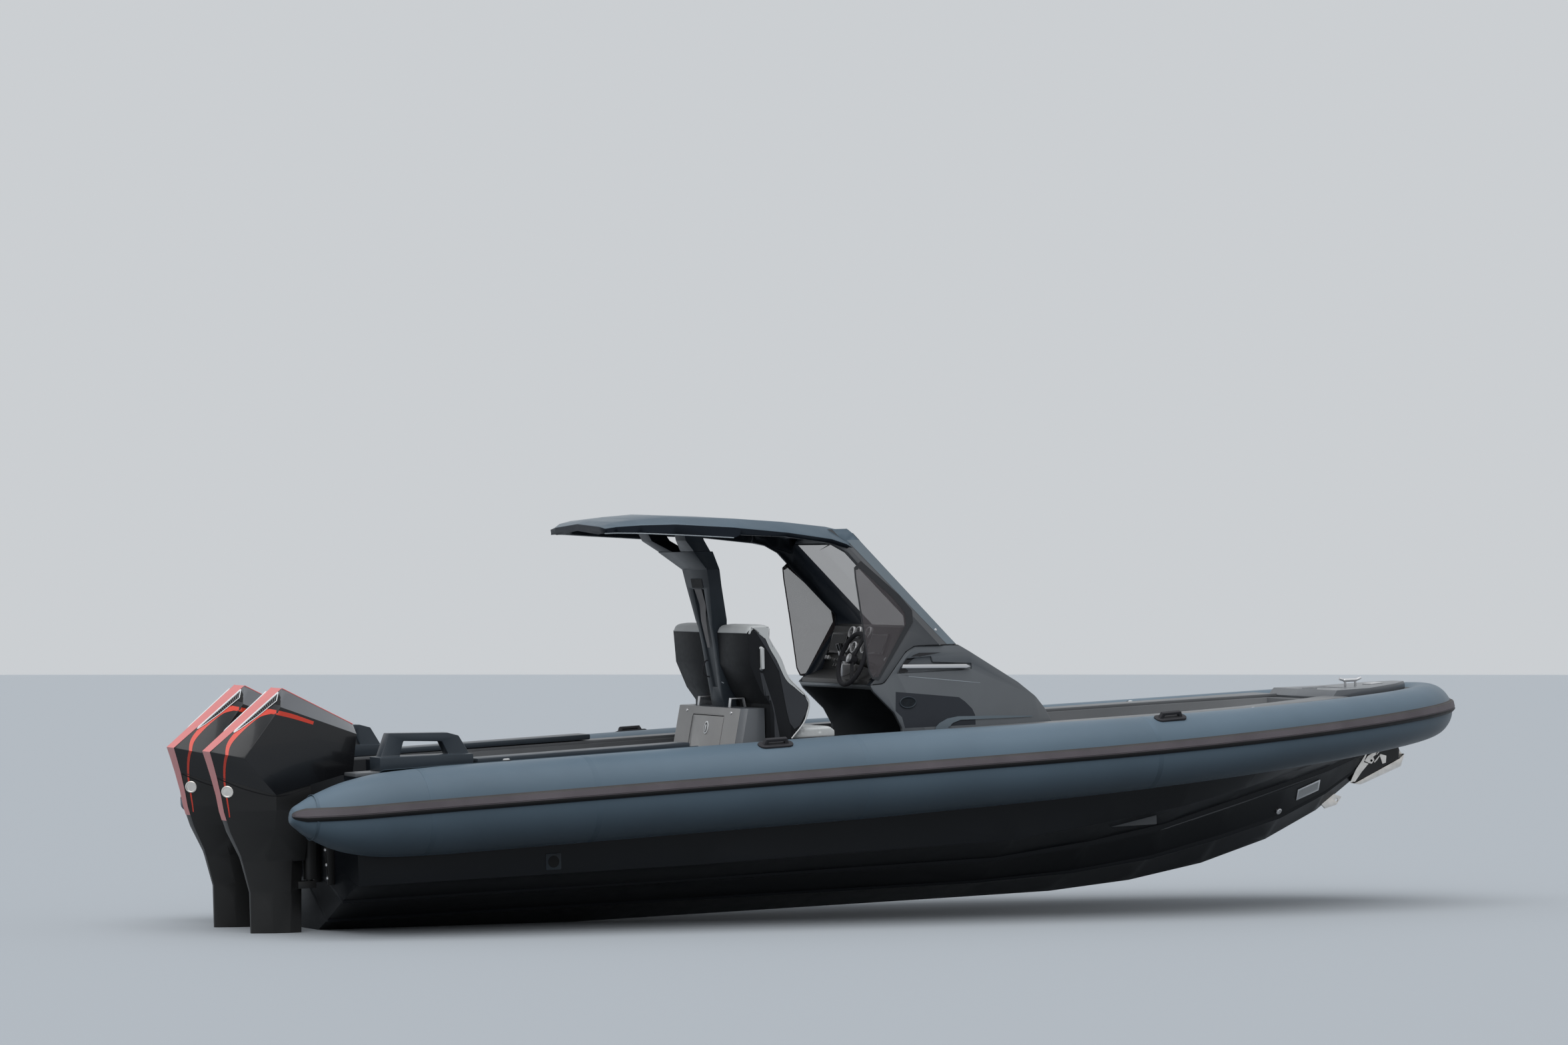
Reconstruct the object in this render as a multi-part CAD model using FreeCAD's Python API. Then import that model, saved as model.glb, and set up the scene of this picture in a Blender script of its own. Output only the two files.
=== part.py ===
import FreeCAD, Part
import math
import os

# Rigid inflatable boat, 8.6 m over the tubes, with a hard-top console and two outboards.
# Millimetres, +X to the bow, +Y to port, +Z up, origin amidships on the centreline at the
# floating waterline. Tables give half outlines where the boat is symmetrical.

# Clearances
FIT = 0.3                # round the tubes and between seated pieces
SOFT = 0.6               # between an upholstered pad and its shell
PIN_PLAY = 0.06          # round a pin or shaft
LID_GAP = 5.0            # round a lid or door
HIGH = 1200.0            # above every part of the hull and deck

# Collar
TUBE_Y = 1030.0          # half the spacing of the two tube centrelines
TUBE_R_AFT = 262.0       # tube radius aft of amidships
TUBE_R_BOW = 176.0       # tube radius at the bow
TUBE_Z_MID = 428.0       # tube centre height at x = 0
TUBE_RISE = 0.0261       # straight rise of the tube centre, per mm of length
BOW_LIFT = 6.5e-6        # extra rise forward of BEND_X, per mm squared
BEND_X = 1200.0          # where the tubes start to bend inward
BOW_X = 4775.0           # tube centreline at the bow
BOW_FULLNESS = 2.2       # exponent of the bow curve in plan
BOW_ANGLES = (0.0, 15.0, 28.0, 40.0, 51.0, 61.0, 69.0, 75.5, 81.0, 85.7)
# Stern cone: x from the transom, radius, lift of the centre
STERN_CONE = (
    (-460.0, 25.0, 34.0),
    (-410.0, 78.0, 28.0),
    (-340.0, 122.0, 20.0),
    (-200.0, 184.0, 8.0),
    (-60.0, 222.0, 2.0),
    (140.0, 250.0, 0.0),
    (500.0, TUBE_R_AFT, 0.0),
    (3200.0, TUBE_R_AFT, 0.0),
)

# Collar fittings, angles from outboard at 0 to the top at 90
STRAKE_WIDE = 66.0
STRAKE_THICK = 20.0
STRAKE_ANGLE = 10.0
PAD_X = (-3060.0, -1010.0)
PAD_ANGLES = (92.0, 116.0)
PAD_THICK = 4.0
PAD_MITRE = 900.0        # run of the mitre, measured to the centreline
HANDLE_X = (-560.0, 2230.0)
HANDLE_ANGLE = 68.0
HANDLE_BASE = (115.0, 42.0, 38.0)    # half length, half width, corner radius
HANDLE_PLATE = 9.0
# Grip seen from the side: along the tube, out from it
HANDLE_GRIP = ((-88.0, 4.0), (-70.0, 44.0), (70.0, 44.0), (88.0, 4.0), (62.0, 4.0), (52.0, 26.0),
               (-52.0, 26.0), (-62.0, 4.0))
HANDLE_GRIP_HALF = 13.0

# Hull
TRANSOM_X = -3200.0
TRANSOM_THICK = 70.0
TRANSOM_TOP = 300.0
WELL_FRONT_X = -2560.0   # forward end of the engine splash well
WELL_HALF = 690.0
WELL_FLOOR = 170.0
SOLE_Z = 30.0            # walking surface of the cockpit
SOLE_THICK = 30.0
LINER_THICK = 25.0
BOW_DECK_X = 3850.0      # aft end of the closed bow deck
LOUNGE_X = 2350.0        # aft end of the raised bow lounge
LOUNGE_Z = 370.0         # its surface
# Hull sections: x, keel z, lower rail y z, upper rail y z, chine y z, rail width
HULL_SECTIONS = (
    (TRANSOM_X, -449.0, 300.0, -325.0, 585.0, -195.0, 865.0, -75.0, 42.0),
    (-1000.0, -449.0, 295.0, -330.0, 575.0, -193.0, 860.0, -66.0, 42.0),
    (1200.0, -449.0, 285.0, -335.0, 555.0, -180.0, 835.0, -30.0, 42.0),
    (1900.0, -447.0, 275.0, -312.0, 525.0, -122.0, 780.0, 45.0, 40.0),
    (2500.0, -408.0, 250.0, -255.0, 465.0, -48.0, 700.0, 112.0, 38.0),
    (3050.0, -325.0, 215.0, -155.0, 392.0, 66.0, 590.0, 200.0, 34.0),
    (3550.0, -192.0, 170.0, -45.0, 302.0, 165.0, 455.0, 296.0, 28.0),
    (3950.0, -18.0, 105.0, 95.0, 200.0, 258.0, 315.0, 368.0, 20.0),
    (4250.0, 180.0, 45.0, 240.0, 95.0, 335.0, 165.0, 420.0, 12.0),
    (4440.0, 400.0, 14.0, 412.0, 34.0, 426.0, 90.0, 446.0, 6.0),
    (4680.0, 462.0, 10.0, 464.0, 24.0, 466.0, 60.0, 469.0, 4.0),
)
FLANGE_SHARE = 0.5       # inboard reach of the hull's tube recess, in tube radii
FLANGE_LIFT = math.sqrt(1.0 - FLANGE_SHARE ** 2)
# Inner edge of the cockpit: x, half width
COCKPIT = (
    (WELL_FRONT_X + 60.0, 715.0),
    (1300.0, 715.0),
    (2500.0, 655.0),
    (3050.0, 580.0),
    (3550.0, 425.0),
    (BOW_DECK_X - 60.0, 315.0),
)

# Deck mouldings
COAMING_LOW = 20.0
COAMING_LIP = 12.0       # overhang of the coaming into the cockpit
BOLSTER_HIGH = 34.0
BOLSTER_LIP = 24.0
BOLSTER_X = (WELL_FRONT_X + 140.0, -1030.0)
QUARTER_TOP = 678.0
ARCH_Y = (726.0, 816.0)
ARCH_X = TRANSOM_X + 190.0
ARCH_RUN = 565.0
# Arch from the side: x from its aft foot, height above the quarter moulding
ARCH_OUTER = ((0.0, 0.0), (54.0, 139.0), (430.0, 128.0), (500.0, 108.0), (ARCH_RUN, 0.0))
ARCH_HOLE = ((122.0, 0.0), (148.0, 89.0), (392.0, 77.0), (428.0, 0.0))

# Upholstery and bench
BENCH_X = (WELL_FRONT_X + 90.0, WELL_FRONT_X + 540.0)
BENCH_TOP = 400.0
TOE_KICK = (60.0, 90.0)  # depth and height of the recess under the bench's front
CUSHION_THICK = 85.0
CUSHION_INSET = 20.0

# Bow step with the anchor locker: x from the bow deck's aft end
STEP_PLAN = ((0.0, 416.0), (330.0, 340.0), (630.0, 200.0), (800.0, 45.0))
STEP_SIDE = ((0.0, 755.0), (40.0, 800.0), (340.0, 803.0), (775.0, 827.0), (818.0, 795.0))
LOCKER_X = (BOW_DECK_X + 75.0, BOW_DECK_X + 275.0)
LOCKER_HALF = 150.0
LOCKER_DEPTH = 300.0
LID_TOP = 800.0
LID_THICK = 20.0
HINGE_R = 5.0            # knuckles of the lid and of the aft unit's door
HINGE_SHARE = 0.6        # length of the moving knuckle, as a share of the lid or door

# Roof: x, half width, height of the shoulder line, drop of its bevel, depth of the side face
ROOF_SECTIONS = (
    (-1370.0, 445.0, 2012.0, 12.0, 30.0),
    (-1320.0, 510.0, 2035.0, 26.0, 38.0),
    (-1200.0, 615.0, 2052.0, 36.0, 50.0),
    (-1000.0, 690.0, 2064.0, 48.0, 64.0),
    (-620.0, 715.0, 2045.0, 57.0, 64.0),
    (-570.0, 714.0, 2042.0, 60.0, 40.0),
    (-240.0, 690.0, 2015.0, 68.0, 24.0),
    (100.0, 605.0, 1977.0, 78.0, 22.0),
    (230.0, 545.0, 1953.0, 88.0, 22.0),
    (315.0, 505.0, 1918.0, 90.0, 22.0),
)
ROOF_CROWN = 20.0        # rise of the roof's middle over its shoulder
ROOF_SHOULDER = 90.0     # shoulder line inboard of the edge
ROOF_RIM = (10.0, 75.0, 105.0)       # inboard steps of the rim's lower edge
ROOF_SHELL = 40.0        # thickness of the roof panel

# Console seen from the side, x z: seam with the windscreen frame, nose, knee cut, cabin
SEAM = ((379.0, 971.0), (464.0, 979.0), (505.0, 1012.0), (634.0, 1175.0), (705.0, 1207.0),
        (1020.0, 1204.0))
NOSE = ((1474.0, 950.0), (1622.0, 846.0), (1697.0, 776.0), (1764.0, 690.0), (1800.0, 600.0),
        (1800.0, SOLE_Z))
KNEE_CUT = ((600.0, SOLE_Z), (600.0, 690.0), (545.0, 790.0), (400.0, 930.0))
CABIN = ((200.0, 62.0), (200.0, 940.0), (660.0, 940.0), (700.0, 1165.0), (1005.0, 1165.0),
         (1440.0, 925.0), (1590.0, 820.0), (1660.0, 755.0), (1725.0, 675.0), (1760.0, 590.0),
         (1760.0, 62.0))
CONSOLE_HALF = 530.0
CONSOLE_WALL = 30.0
# Console in plan: x, how far its side stands in from CONSOLE_HALF
CONSOLE_PLAN = ((300.0, 0.0), (1100.0, 15.0), (1600.0, 100.0), (1790.0, 190.0), (1840.0, 280.0))
SCOOP = ((572.0, 1036.0), (640.0, 1128.0), (820.0, 1136.0), (830.0, 1100.0), (1110.0, 1082.0),
         (1110.0, 1044.0))
SCOOP_DEEP = 32.0
BAR_SIDE = ((604.0, 1070.0), (1062.0, 1055.0), (1092.0, 1064.0), (1060.0, 1080.0), (612.0, 1092.0))
BAR_DEPTH = (14.0, 6.0)  # inboard and outboard of the console's side
BAR_FOOT = ((620.0, 1074.0), (650.0, 1073.0), (650.0, 1085.0), (620.0, 1086.0))
BAR_FOOT_STEP = (390.0, -11.0)       # from the aft foot to the forward one, x z

# Helm
PANEL_THICK = 45.0       # side panels of the windscreen frame
FRAME_IN = CONSOLE_HALF - PANEL_THICK
DASH_TOP = ((945.0, 1236.0), (680.0, 1338.0), (630.0, 1325.0), (530.0, 1048.0), (430.0, 1015.0),
            (385.0, 1000.0))
WHEEL = (395.0, -245.0, 1130.0)
WHEEL_TILT = (-0.94, 0.0, 0.34)
WHEEL_R = 170.0
RIM_R = 15.0
HUB_R = 34.0
SPOKE = (30.0, 9.0)      # width, thickness
SPOKE_TURNS = (90.0, 210.0, 330.0)
COLUMN_R = 12.0
COLUMN_HOUSING_R = 22.0
COLUMN_RUN = (175.0, 40.0, 30.0, 14.0)   # housing foot, spindle foot, housing end, spindle end
THROTTLE_BOX = (425.0, 520.0, -40.0, 50.0, 980.0, 1090.0)
LEVER = ((450.0, 1080.0), (475.0, 1080.0), (445.0, 1200.0), (420.0, 1200.0))
LEVER_THICK = 14.0
LEVER_Y = (-22.0, 18.0)

# Windscreen frame
SCREEN_FOOT = (1020.0, 1204.0)
SCREEN_HEAD = (320.0, 1917.0)
PANEL_HEAD = ((320.0, 1917.0), (262.0, 1960.0), (60.0, 1960.0))
WINDOW = ((60.0, 1885.0), (147.0, 1864.0), (245.0, 1811.0), (352.0, 1699.0), (499.0, 1550.0),
          (648.0, 1400.0), (655.0, 1311.0), (423.0, 1012.0))
PILLAR_CHAMFER = 140.0   # run of the bevel along the pillar's outer corner
CHAMFER_OVER = 0.2       # how far the bevel's cut runs on past its edges, as a share
CROSSBAR = (46.0, 36.0)  # width along the screen, thickness
SILL_START = 4.0
HEADER_OVER = 20.0
GLASS_THICK = 8.0
GLASS_IN = 6.0           # windscreen glass below the frame's face
SIDE_GLASS = ((309.0, 1735.0), (333.0, 1756.0), (596.0, 1533.0), (684.0, 1434.0), (688.0, 1358.0),
              (439.0, 1000.0), (392.0, 1008.0), (368.0, 1057.0), (328.0, 1370.0), (288.0, 1650.0),
              (284.0, 1714.0))
SIDE_GLASS_THICK = 6.0

# Pylon: z, x aft, x forward, half width
PYLON = (
    (855.0, -435.0, -352.0, 98.0),
    (1244.0, -492.0, -389.0, 110.0),
    (1366.0, -515.0, -413.0, 112.0),
    (1404.0, -522.0, -420.0, 130.0),
    (1618.0, -558.0, -473.0, 180.0),
    (1725.0, -578.0, -491.0, 195.0),
    (1840.0, -705.0, -574.0, 282.0),
)
# Its two arms: z, x aft, x forward, y inner, y outer
PYLON_ARM = (
    (1815.0, -670.0, -563.0, 20.0, 255.0),
    (1912.0, -785.0, -660.0, 190.0, 345.0),
    (2060.0, -840.0, -740.0, 240.0, 400.0),
)
# Recess in its aft face: z, x of the face, half width
PYLON_RECESS = ((980.0, -453.0, 40.0), (1600.0, -555.0, 84.0))
RECESS_DEEP = 14.0
RECESS_CLEAR = 60.0

# Aft unit behind the seats
UNIT_HALF = 500.0
UNIT_TOP = 855.0
UNIT_FOOT_X = -670.0
UNIT_TOP_X = -494.0
UNIT_FRONT_X = -345.0
UNIT_CHAMFER = 60.0
DOOR_Z = (330.0, 800.0)
DOOR_HALF = 235.0
DOOR_THICK = 18.0
POCKET_DEEP = 150.0
POCKET_WALL = 30.0
RAIL = ((-470.0, 0.0), (-462.0, 60.0), (-368.0, 60.0), (-355.0, 0.0), (-363.0, 0.0), (-375.0, 52.0),
        (-455.0, 52.0), (-462.0, 0.0))
RAIL_Y = (225.0, 255.0)

# Bucket seats, x z; the back's rear edge is shared by the wing and the back
SEAT_Y = 345.0
SEAT_HALF = 228.0
SHELL = 26.0
SEAT_PAN_Z = 625.0
SEAT_REAR = ((-338.0, 640.0), (-338.0, 880.0), (-400.0, 965.0), (-470.0, 1130.0), (-484.0, 1329.0),
             (-455.0, 1362.0))
WING_FRONT = ((-335.0, 1362.0), (-338.0, 1292.0), (-262.0, 1165.0), (-208.0, 1041.0), (-102.0, 936.0),
              (-71.0, 870.0), (-107.0, 761.0), (-197.0, 660.0), (140.0, 655.0), (140.0, 625.0),
              (-338.0, 625.0))
BACK_FRONT = ((-420.0, 1362.0), (-440.0, 1130.0), (-372.0, 980.0), (-308.0, 885.0), (-308.0, 640.0))
PAN = ((-338.0, 625.0), (140.0, 625.0), (140.0, 652.0), (-338.0, 652.0))
SQUAB = ((-225.0, 653.0), (135.0, 653.0), (135.0, 700.0), (110.0, 722.0), (-215.0, 722.0))
BACKREST = ((-306.0, 740.0), (-306.0, 885.0), (-371.0, 981.0), (-438.0, 1130.0), (-421.0, 1340.0),
            (-360.0, 1340.0), (-375.0, 1130.0), (-312.0, 1000.0), (-245.0, 900.0), (-235.0, 740.0))
PEDESTAL_X = (-300.0, 60.0)
PEDESTAL_HALF = 150.0

# Bow fittings
CLEAT_Z = 846.0
CLEAT_MIDDLE = (4199.0, 4291.0, 11.0)    # ends of the stretch over the posts, and its radius
CLEAT_HORN = (9.0, 34.0, 18.0)           # radius, length, rise in degrees
CLEAT_POST_X = (4205.0, 4285.0)
CLEAT_POST_R = 8.0
CHEEK = ((4400.0, 500.0), (4540.0, 500.0), (4590.0, 360.0), (4579.0, 297.0), (4440.0, 300.0))
CHEEK_Y = (46.0, 52.0)
ROLLER = (4548.0, 345.0)
ROLLER_R = 20.0
SHANK = ((4455.0, 400.0), (4600.0, 375.0), (4640.0, 330.0), (4625.0, 322.0), (4590.0, 358.0),
         (4455.0, 380.0))
SHANK_HALF = 8.0
FLUKE = ((4640.0, 332.0), (4600.0, 300.0), (4262.0, 158.0), (4240.0, 150.0), (4290.0, 140.0),
         (4610.0, 250.0))
FLUKE_HALF = 34.0
EYE = ((3990.0, 20.0), (4076.0, 90.0), (4150.0, 62.0), (4108.0, 10.0), (4020.0, -10.0))
EYE_HALF = 8.0
EYE_HOLE = (4112.0, 42.0)
EYE_HOLE_R = 11.0

# Outboards, measured from the top edge of the transom's aft face
ENGINE_Y = 350.0         # half the spacing of the two engines
TILT = (-32.0, 48.0)     # tilt pin, x z
PIN_R = 16.0
PIN_OVER = 6.0
BARREL_HALF = 106.0
BARREL_R = 33.0
CLAMP_Y = (112.0, 140.0)
# Over and inside the transom: hollowed forward of the pin, where the tie bar swings down
CLAMP_OUT = ((-66.0, 85.0), (-30.0, 104.0), (4.0, 96.0), (26.0, 66.0), (30.0, 34.0), (66.0, 16.0),
             (106.0, 16.0), (106.0, -110.0))
CLAMP_AFT = ((-40.0, -390.0), (-62.0, -10.0))                    # down its aft face
CLAMP_FOOT = -390.0
STEER_X = -115.0
SWIVEL_WEB = ((-40.0, 72.0), (STEER_X, 72.0), (STEER_X, -360.0), (-86.0, -360.0), (-76.0, -150.0),
              (-40.0, 20.0))
SWIVEL_HALF = 36.0
SWIVEL_Z = (-360.0, 72.0)
SHAFT_R = 22.0
SHAFT_Z = (-396.0, 102.0)
# Cowl: middle edge x z and half width there, flat side x z
COWL_EDGE = ((-291.0, 796.0, 100.0), (153.0, 565.0, 90.0), (128.0, 260.0, 118.0),
             (-697.0, 283.0, 60.0), (-718.0, 360.0, 66.0), (-740.0, 435.0, 72.0))
COWL_FLAT = ((-345.0, 690.0), (128.0, 510.0), (100.0, 286.0), (-385.0, 168.0), (-484.0, 283.0),
             (-578.0, 395.0))
COWL_HALF = 225.0
# Lower cover, flush below the cowl: z, x aft, half width there, x of its corner, half width there
LOWER_COVER = (
    (300.0, -697.0, 58.0, -470.0, 200.0),
    (168.0, -670.0, 50.0, -385.0, 222.0),
    (75.0, -654.0, 48.0, -380.0, 205.0),
    (-50.0, -616.0, 40.0, -372.0, 150.0),
    (-240.0, -528.0, 22.0, -400.0, 78.0),
)
LOWER_COVER_FORE = -166.0
# Leg: z, x aft, x forward, half width
LEG = (
    (250.0, -600.0, -176.0, 100.0),
    (-50.0, -590.0, -172.0, 100.0),
    (-240.0, -535.0, -168.0, 82.0),
    (-420.0, -490.0, -172.0, 58.0),
    (-700.0, -490.0, -178.0, 44.0),
    (-870.0, -505.0, -190.0, 36.0),
)
LEG_NOSE = (0.35, 80.0)  # share of the half width at the leading edge, run of the taper
LEG_TAIL = (0.25, 130.0) # the same at the trailing edge
PROP_Z = -920.0
# Gearcase: x, radius
GEARCASE = ((-122.0, 10.0), (-145.0, 34.0), (-200.0, 58.0), (-490.0, 62.0), (-562.0, 50.0))
PLATE = ((-202.0, 40.0), (-320.0, 120.0), (-760.0, 138.0))
PLATE_Z = (-718.0, -704.0)
SKEG = ((-535.0, -940.0), (-230.0, -940.0), (-400.0, -1120.0), (-500.0, -1142.0))
SKEG_HALF = 7.0
STEER_ARM_X = 20.0       # pivot of the tie bar
ARM_Z = (88.0, 102.0)
ARM_HALF = 24.0
YOKE_TOP = (-200.0, 60.0, 80.0)          # aft end, half width, underside of the upper yoke
YOKE_LOW = (-200.0, 46.0, -410.0, -368.0)    # aft end, half width, height of the lower yoke
ARM_PIN_R = 8.0
ARM_PIN_TOP = 136.0
ARM_PAD_R = 24.0
TIE_Z = 118.0
TIE_R = 9.0
TIE_EYE_R = 20.0
TIE_EYE_Z = (107.0, 129.0)
TIE_PLAY = 0.6           # play of the tie bar at its port pin
PROP_X = (-566.0, -672.0)
PROP_R = 190.0
PROP_HUB_R = 44.0
PROP_SHAFT_R = 12.0
PROP_SHAFT_X = (-560.0, -680.0)
# Blade: radius, half chord, pitch angle, half thickness
BLADE = ((30.0, 34.0, 62.0, 7.0), (90.0, 62.0, 45.0, 5.0), (150.0, 62.0, 32.0, 3.5),
         (PROP_R, 22.0, 27.0, 1.6))
BLADE_TURNS = (0.0, 120.0, 240.0)

V = FreeCAD.Vector
ORIGIN = V(0, 0, 0)
UP = V(0, 0, 1)


# Shapes and placing
def polygon(points):
    """Closed wire of straight edges."""
    return Part.makePolygon(list(points) + [points[0]])


def side_plate(outline, y_low, y_high):
    """Outline of (x, z) corners, extruded across the boat."""
    face = Part.Face(polygon([V(x, y_low, z) for x, z in outline]))
    return face.extrude(V(0, y_high - y_low, 0))


def plan_plate(outline, z_low, z_high):
    """Outline of (x, y) corners, extruded upwards."""
    face = Part.Face(polygon([V(x, y, z_low) for x, y in outline]))
    return face.extrude(V(0, 0, z_high - z_low))


def whole(half):
    """Outline in plan from its port half."""
    return list(half) + [(x, -y) for x, y in reversed(half)]


def shifted(outline, x, z=0.0):
    """Outline measured from another point."""
    return [(a + x, b + z) for a, b in outline]


def block(x_low, x_high, y_low, y_high, z_low, z_high):
    """Box between two corners."""
    return Part.makeBox(x_high - x_low, y_high - y_low, z_high - z_low, V(x_low, y_low, z_low))


def centred_block(x_low, x_high, half, z_low, z_high):
    """Box of one half width on the centreline."""
    return block(x_low, x_high, -half, half, z_low, z_high)


def rod(start, end, radius):
    """Round bar between two points."""
    run = end - start
    return Part.makeCylinder(radius, run.Length, start, run)


def cross_rod(x, z, half, radius):
    """Round bar across the boat."""
    return rod(V(x, -half, z), V(x, half, z), radius)


def upright_rod(x, z_low, z_high, radius, y=0.0):
    """Round bar standing up."""
    return rod(V(x, y, z_low), V(x, y, z_high), radius)


def loft(wires):
    """Solid with straight lines between successive wires."""
    return Part.makeLoft(wires, True, True)


def rounded(points, radius):
    """Closed wire whose corners are arcs of one radius."""
    corners = []
    for i, point in enumerate(points):
        back = (points[i - 1] - point).normalize()
        ahead = (points[(i + 1) % len(points)] - point).normalize()
        half = math.acos(max(-1.0, min(1.0, back.dot(ahead)))) / 2
        bisector = (back + ahead).normalize()
        reach = radius / math.tan(half)
        middle = point + bisector * (radius / math.sin(half) - radius)
        corners.append((point + back * reach, middle, point + ahead * reach))
    edges = []
    for i, (start, middle, end) in enumerate(corners):
        edges.append(Part.Arc(start, middle, end).toShape())
        edges.append(Part.LineSegment(end, corners[(i + 1) % len(corners)][0]).toShape())
    return Part.Wire(edges)


def mirrored(shape):
    """The same shape on the other side of the centreline."""
    return shape.mirror(ORIGIN, V(0, 1, 0))


def fused(first, *rest):
    """One solid from pieces that meet."""
    return first.fuse(list(rest)).removeSplitter()


def largest(shape):
    """The main solid of a shape, without the slivers that a cut leaves."""
    return max(shape.Solids, key=lambda solid: solid.Volume)


def moved(shape, x=0.0, y=0.0, z=0.0):
    """Copy of a shape at another place."""
    copy = shape.copy()
    copy.translate(V(x, y, z))
    return copy


def save(name, *solids):
    """Writes one node."""
    shape = solids[0] if len(solids) == 1 else Part.makeCompound(list(solids))
    if not shape.isValid():
        print("not valid:", name)
    shape.exportStep(os.path.join("parts", name + ".step"))
    print(f"{name:24s} solids {len(shape.Solids)} litres {shape.Volume / 1e6:8.2f}")


def save_pair(name, solid):
    """Writes a node of one solid and its mirror image."""
    save(name, solid, mirrored(solid))


# Collar
def tube_z(x):
    """Height of the tube centre."""
    return TUBE_Z_MID + TUBE_RISE * x + BOW_LIFT * max(0.0, x - BEND_X) ** 2


def tube_r(x):
    """Tube radius, tapering forward of amidships."""
    return TUBE_R_AFT - (TUBE_R_AFT - TUBE_R_BOW) * max(0.0, min(1.0, x / BOW_X)) ** 1.2


def tube_y(x):
    """Distance of the tube centre from the centreline."""
    if x <= BEND_X:
        return TUBE_Y
    share = min(1.0, (x - BEND_X) / (BOW_X - BEND_X))
    return TUBE_Y * math.sqrt(max(0.0, 1.0 - share ** BOW_FULLNESS))


def bow_point(angle):
    """Plan point of the bow curve, angle 0 where the bend starts and 90 at the tip."""
    share = math.sin(math.radians(angle)) ** (2.0 / BOW_FULLNESS)
    return BEND_X + (BOW_X - BEND_X) * share, TUBE_Y * math.cos(math.radians(angle))


def tube_inner(x, share):
    """Distance from the centreline of the tube's inboard side, share of a radius in."""
    slope = (tube_y(x + 1.0) - tube_y(x - 1.0)) / 2.0
    return tube_y(x) - share * tube_r(x) * math.sqrt(1.0 + min(slope * slope, 1.2))


def tube_stations():
    """Centre, direction and radius of each section, from port stern to starboard stern."""
    half = []
    for run, radius, lift in STERN_CONE:
        x = TRANSOM_X + run
        half.append((V(x, TUBE_Y, tube_z(x) + lift), V(1, 0, 0), radius))
    for angle in BOW_ANGLES:
        x, y = bow_point(angle)
        x_next, y_next = bow_point(angle + 0.5)
        x_last, y_last = bow_point(max(0.0, angle - 0.5))
        heading = V(x_next - x_last, y_next - y_last, 0).normalize()
        if angle == 0.0:
            heading = V(1, 0, 0)
        half.append((V(x, y, tube_z(x)), heading, tube_r(x)))
    tip = (V(BOW_X, 0, tube_z(BOW_X)), V(0, -1, 0), tube_r(BOW_X))
    other = [(V(c.x, -c.y, c.z), V(-h.x, h.y, 0), r) for c, h, r in reversed(half)]
    return half + [tip] + other


STATIONS = tube_stations()


def on_tube(station, angle, radius):
    """Point round a tube section, angle 0 outboard and 90 on top."""
    centre, heading, _ = station
    outboard = V(-heading.y, heading.x, 0)
    turn = math.radians(angle)
    return centre + outboard * (radius * math.cos(turn)) + V(0, 0, radius * math.sin(turn))


def tube_body(extra):
    """The whole collar, extra thicker than the real tubes."""
    wires = []
    for station in STATIONS:
        radius = station[2] + extra
        edges = []
        for start in (0.0, 90.0, 180.0, 270.0):
            ends = [on_tube(station, start + step, radius) for step in (0.0, 45.0, 90.0)]
            edges.append(Part.Arc(*ends).toShape())
        wires.append(Part.Wire(edges))
    return loft(wires)


def strake():
    """Rubbing strake round the outside of the collar, before it is cut to seat on it."""
    wires = []
    for station in STATIONS:
        radius = station[2]
        half = math.degrees(math.asin(min(0.55, STRAKE_WIDE / 2.0 / radius)))
        corners = [
            on_tube(station, STRAKE_ANGLE - half, radius - 4.0),
            on_tube(station, STRAKE_ANGLE - half, radius + STRAKE_THICK * 0.6),
            on_tube(station, STRAKE_ANGLE - 0.4 * half, radius + STRAKE_THICK),
            on_tube(station, STRAKE_ANGLE + 0.4 * half, radius + STRAKE_THICK),
            on_tube(station, STRAKE_ANGLE + half, radius + STRAKE_THICK * 0.6),
            on_tube(station, STRAKE_ANGLE + half, radius - 4.0),
        ]
        wires.append(polygon(corners))
    return loft(wires)


def tube_pad():
    """Thin non-slip strip along the inboard top of the port tube, mitred forward."""
    first, last = PAD_ANGLES
    angles = (first, (first + last) / 2.0, last)
    wires = []
    for x in PAD_X:
        station = (V(x, TUBE_Y, tube_z(x)), V(1, 0, 0), TUBE_R_AFT)
        low = [on_tube(station, a, TUBE_R_AFT + FIT) for a in angles]
        high = [on_tube(station, a, TUBE_R_AFT + FIT + PAD_THICK) for a in angles]
        wires.append(Part.Wire([
            Part.Arc(*low).toShape(),
            Part.LineSegment(low[2], high[2]).toShape(),
            Part.Arc(high[2], high[1], high[0]).toShape(),
            Part.LineSegment(high[0], low[0]).toShape(),
        ]))
    end = PAD_X[1] + 1.0
    mitre = ((PAD_X[1] - PAD_MITRE, 0.0), (end, TUBE_Y + 20.0), (end, 0.0))
    return loft(wires).cut(plan_plate(mitre, 0.0, HIGH))


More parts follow.
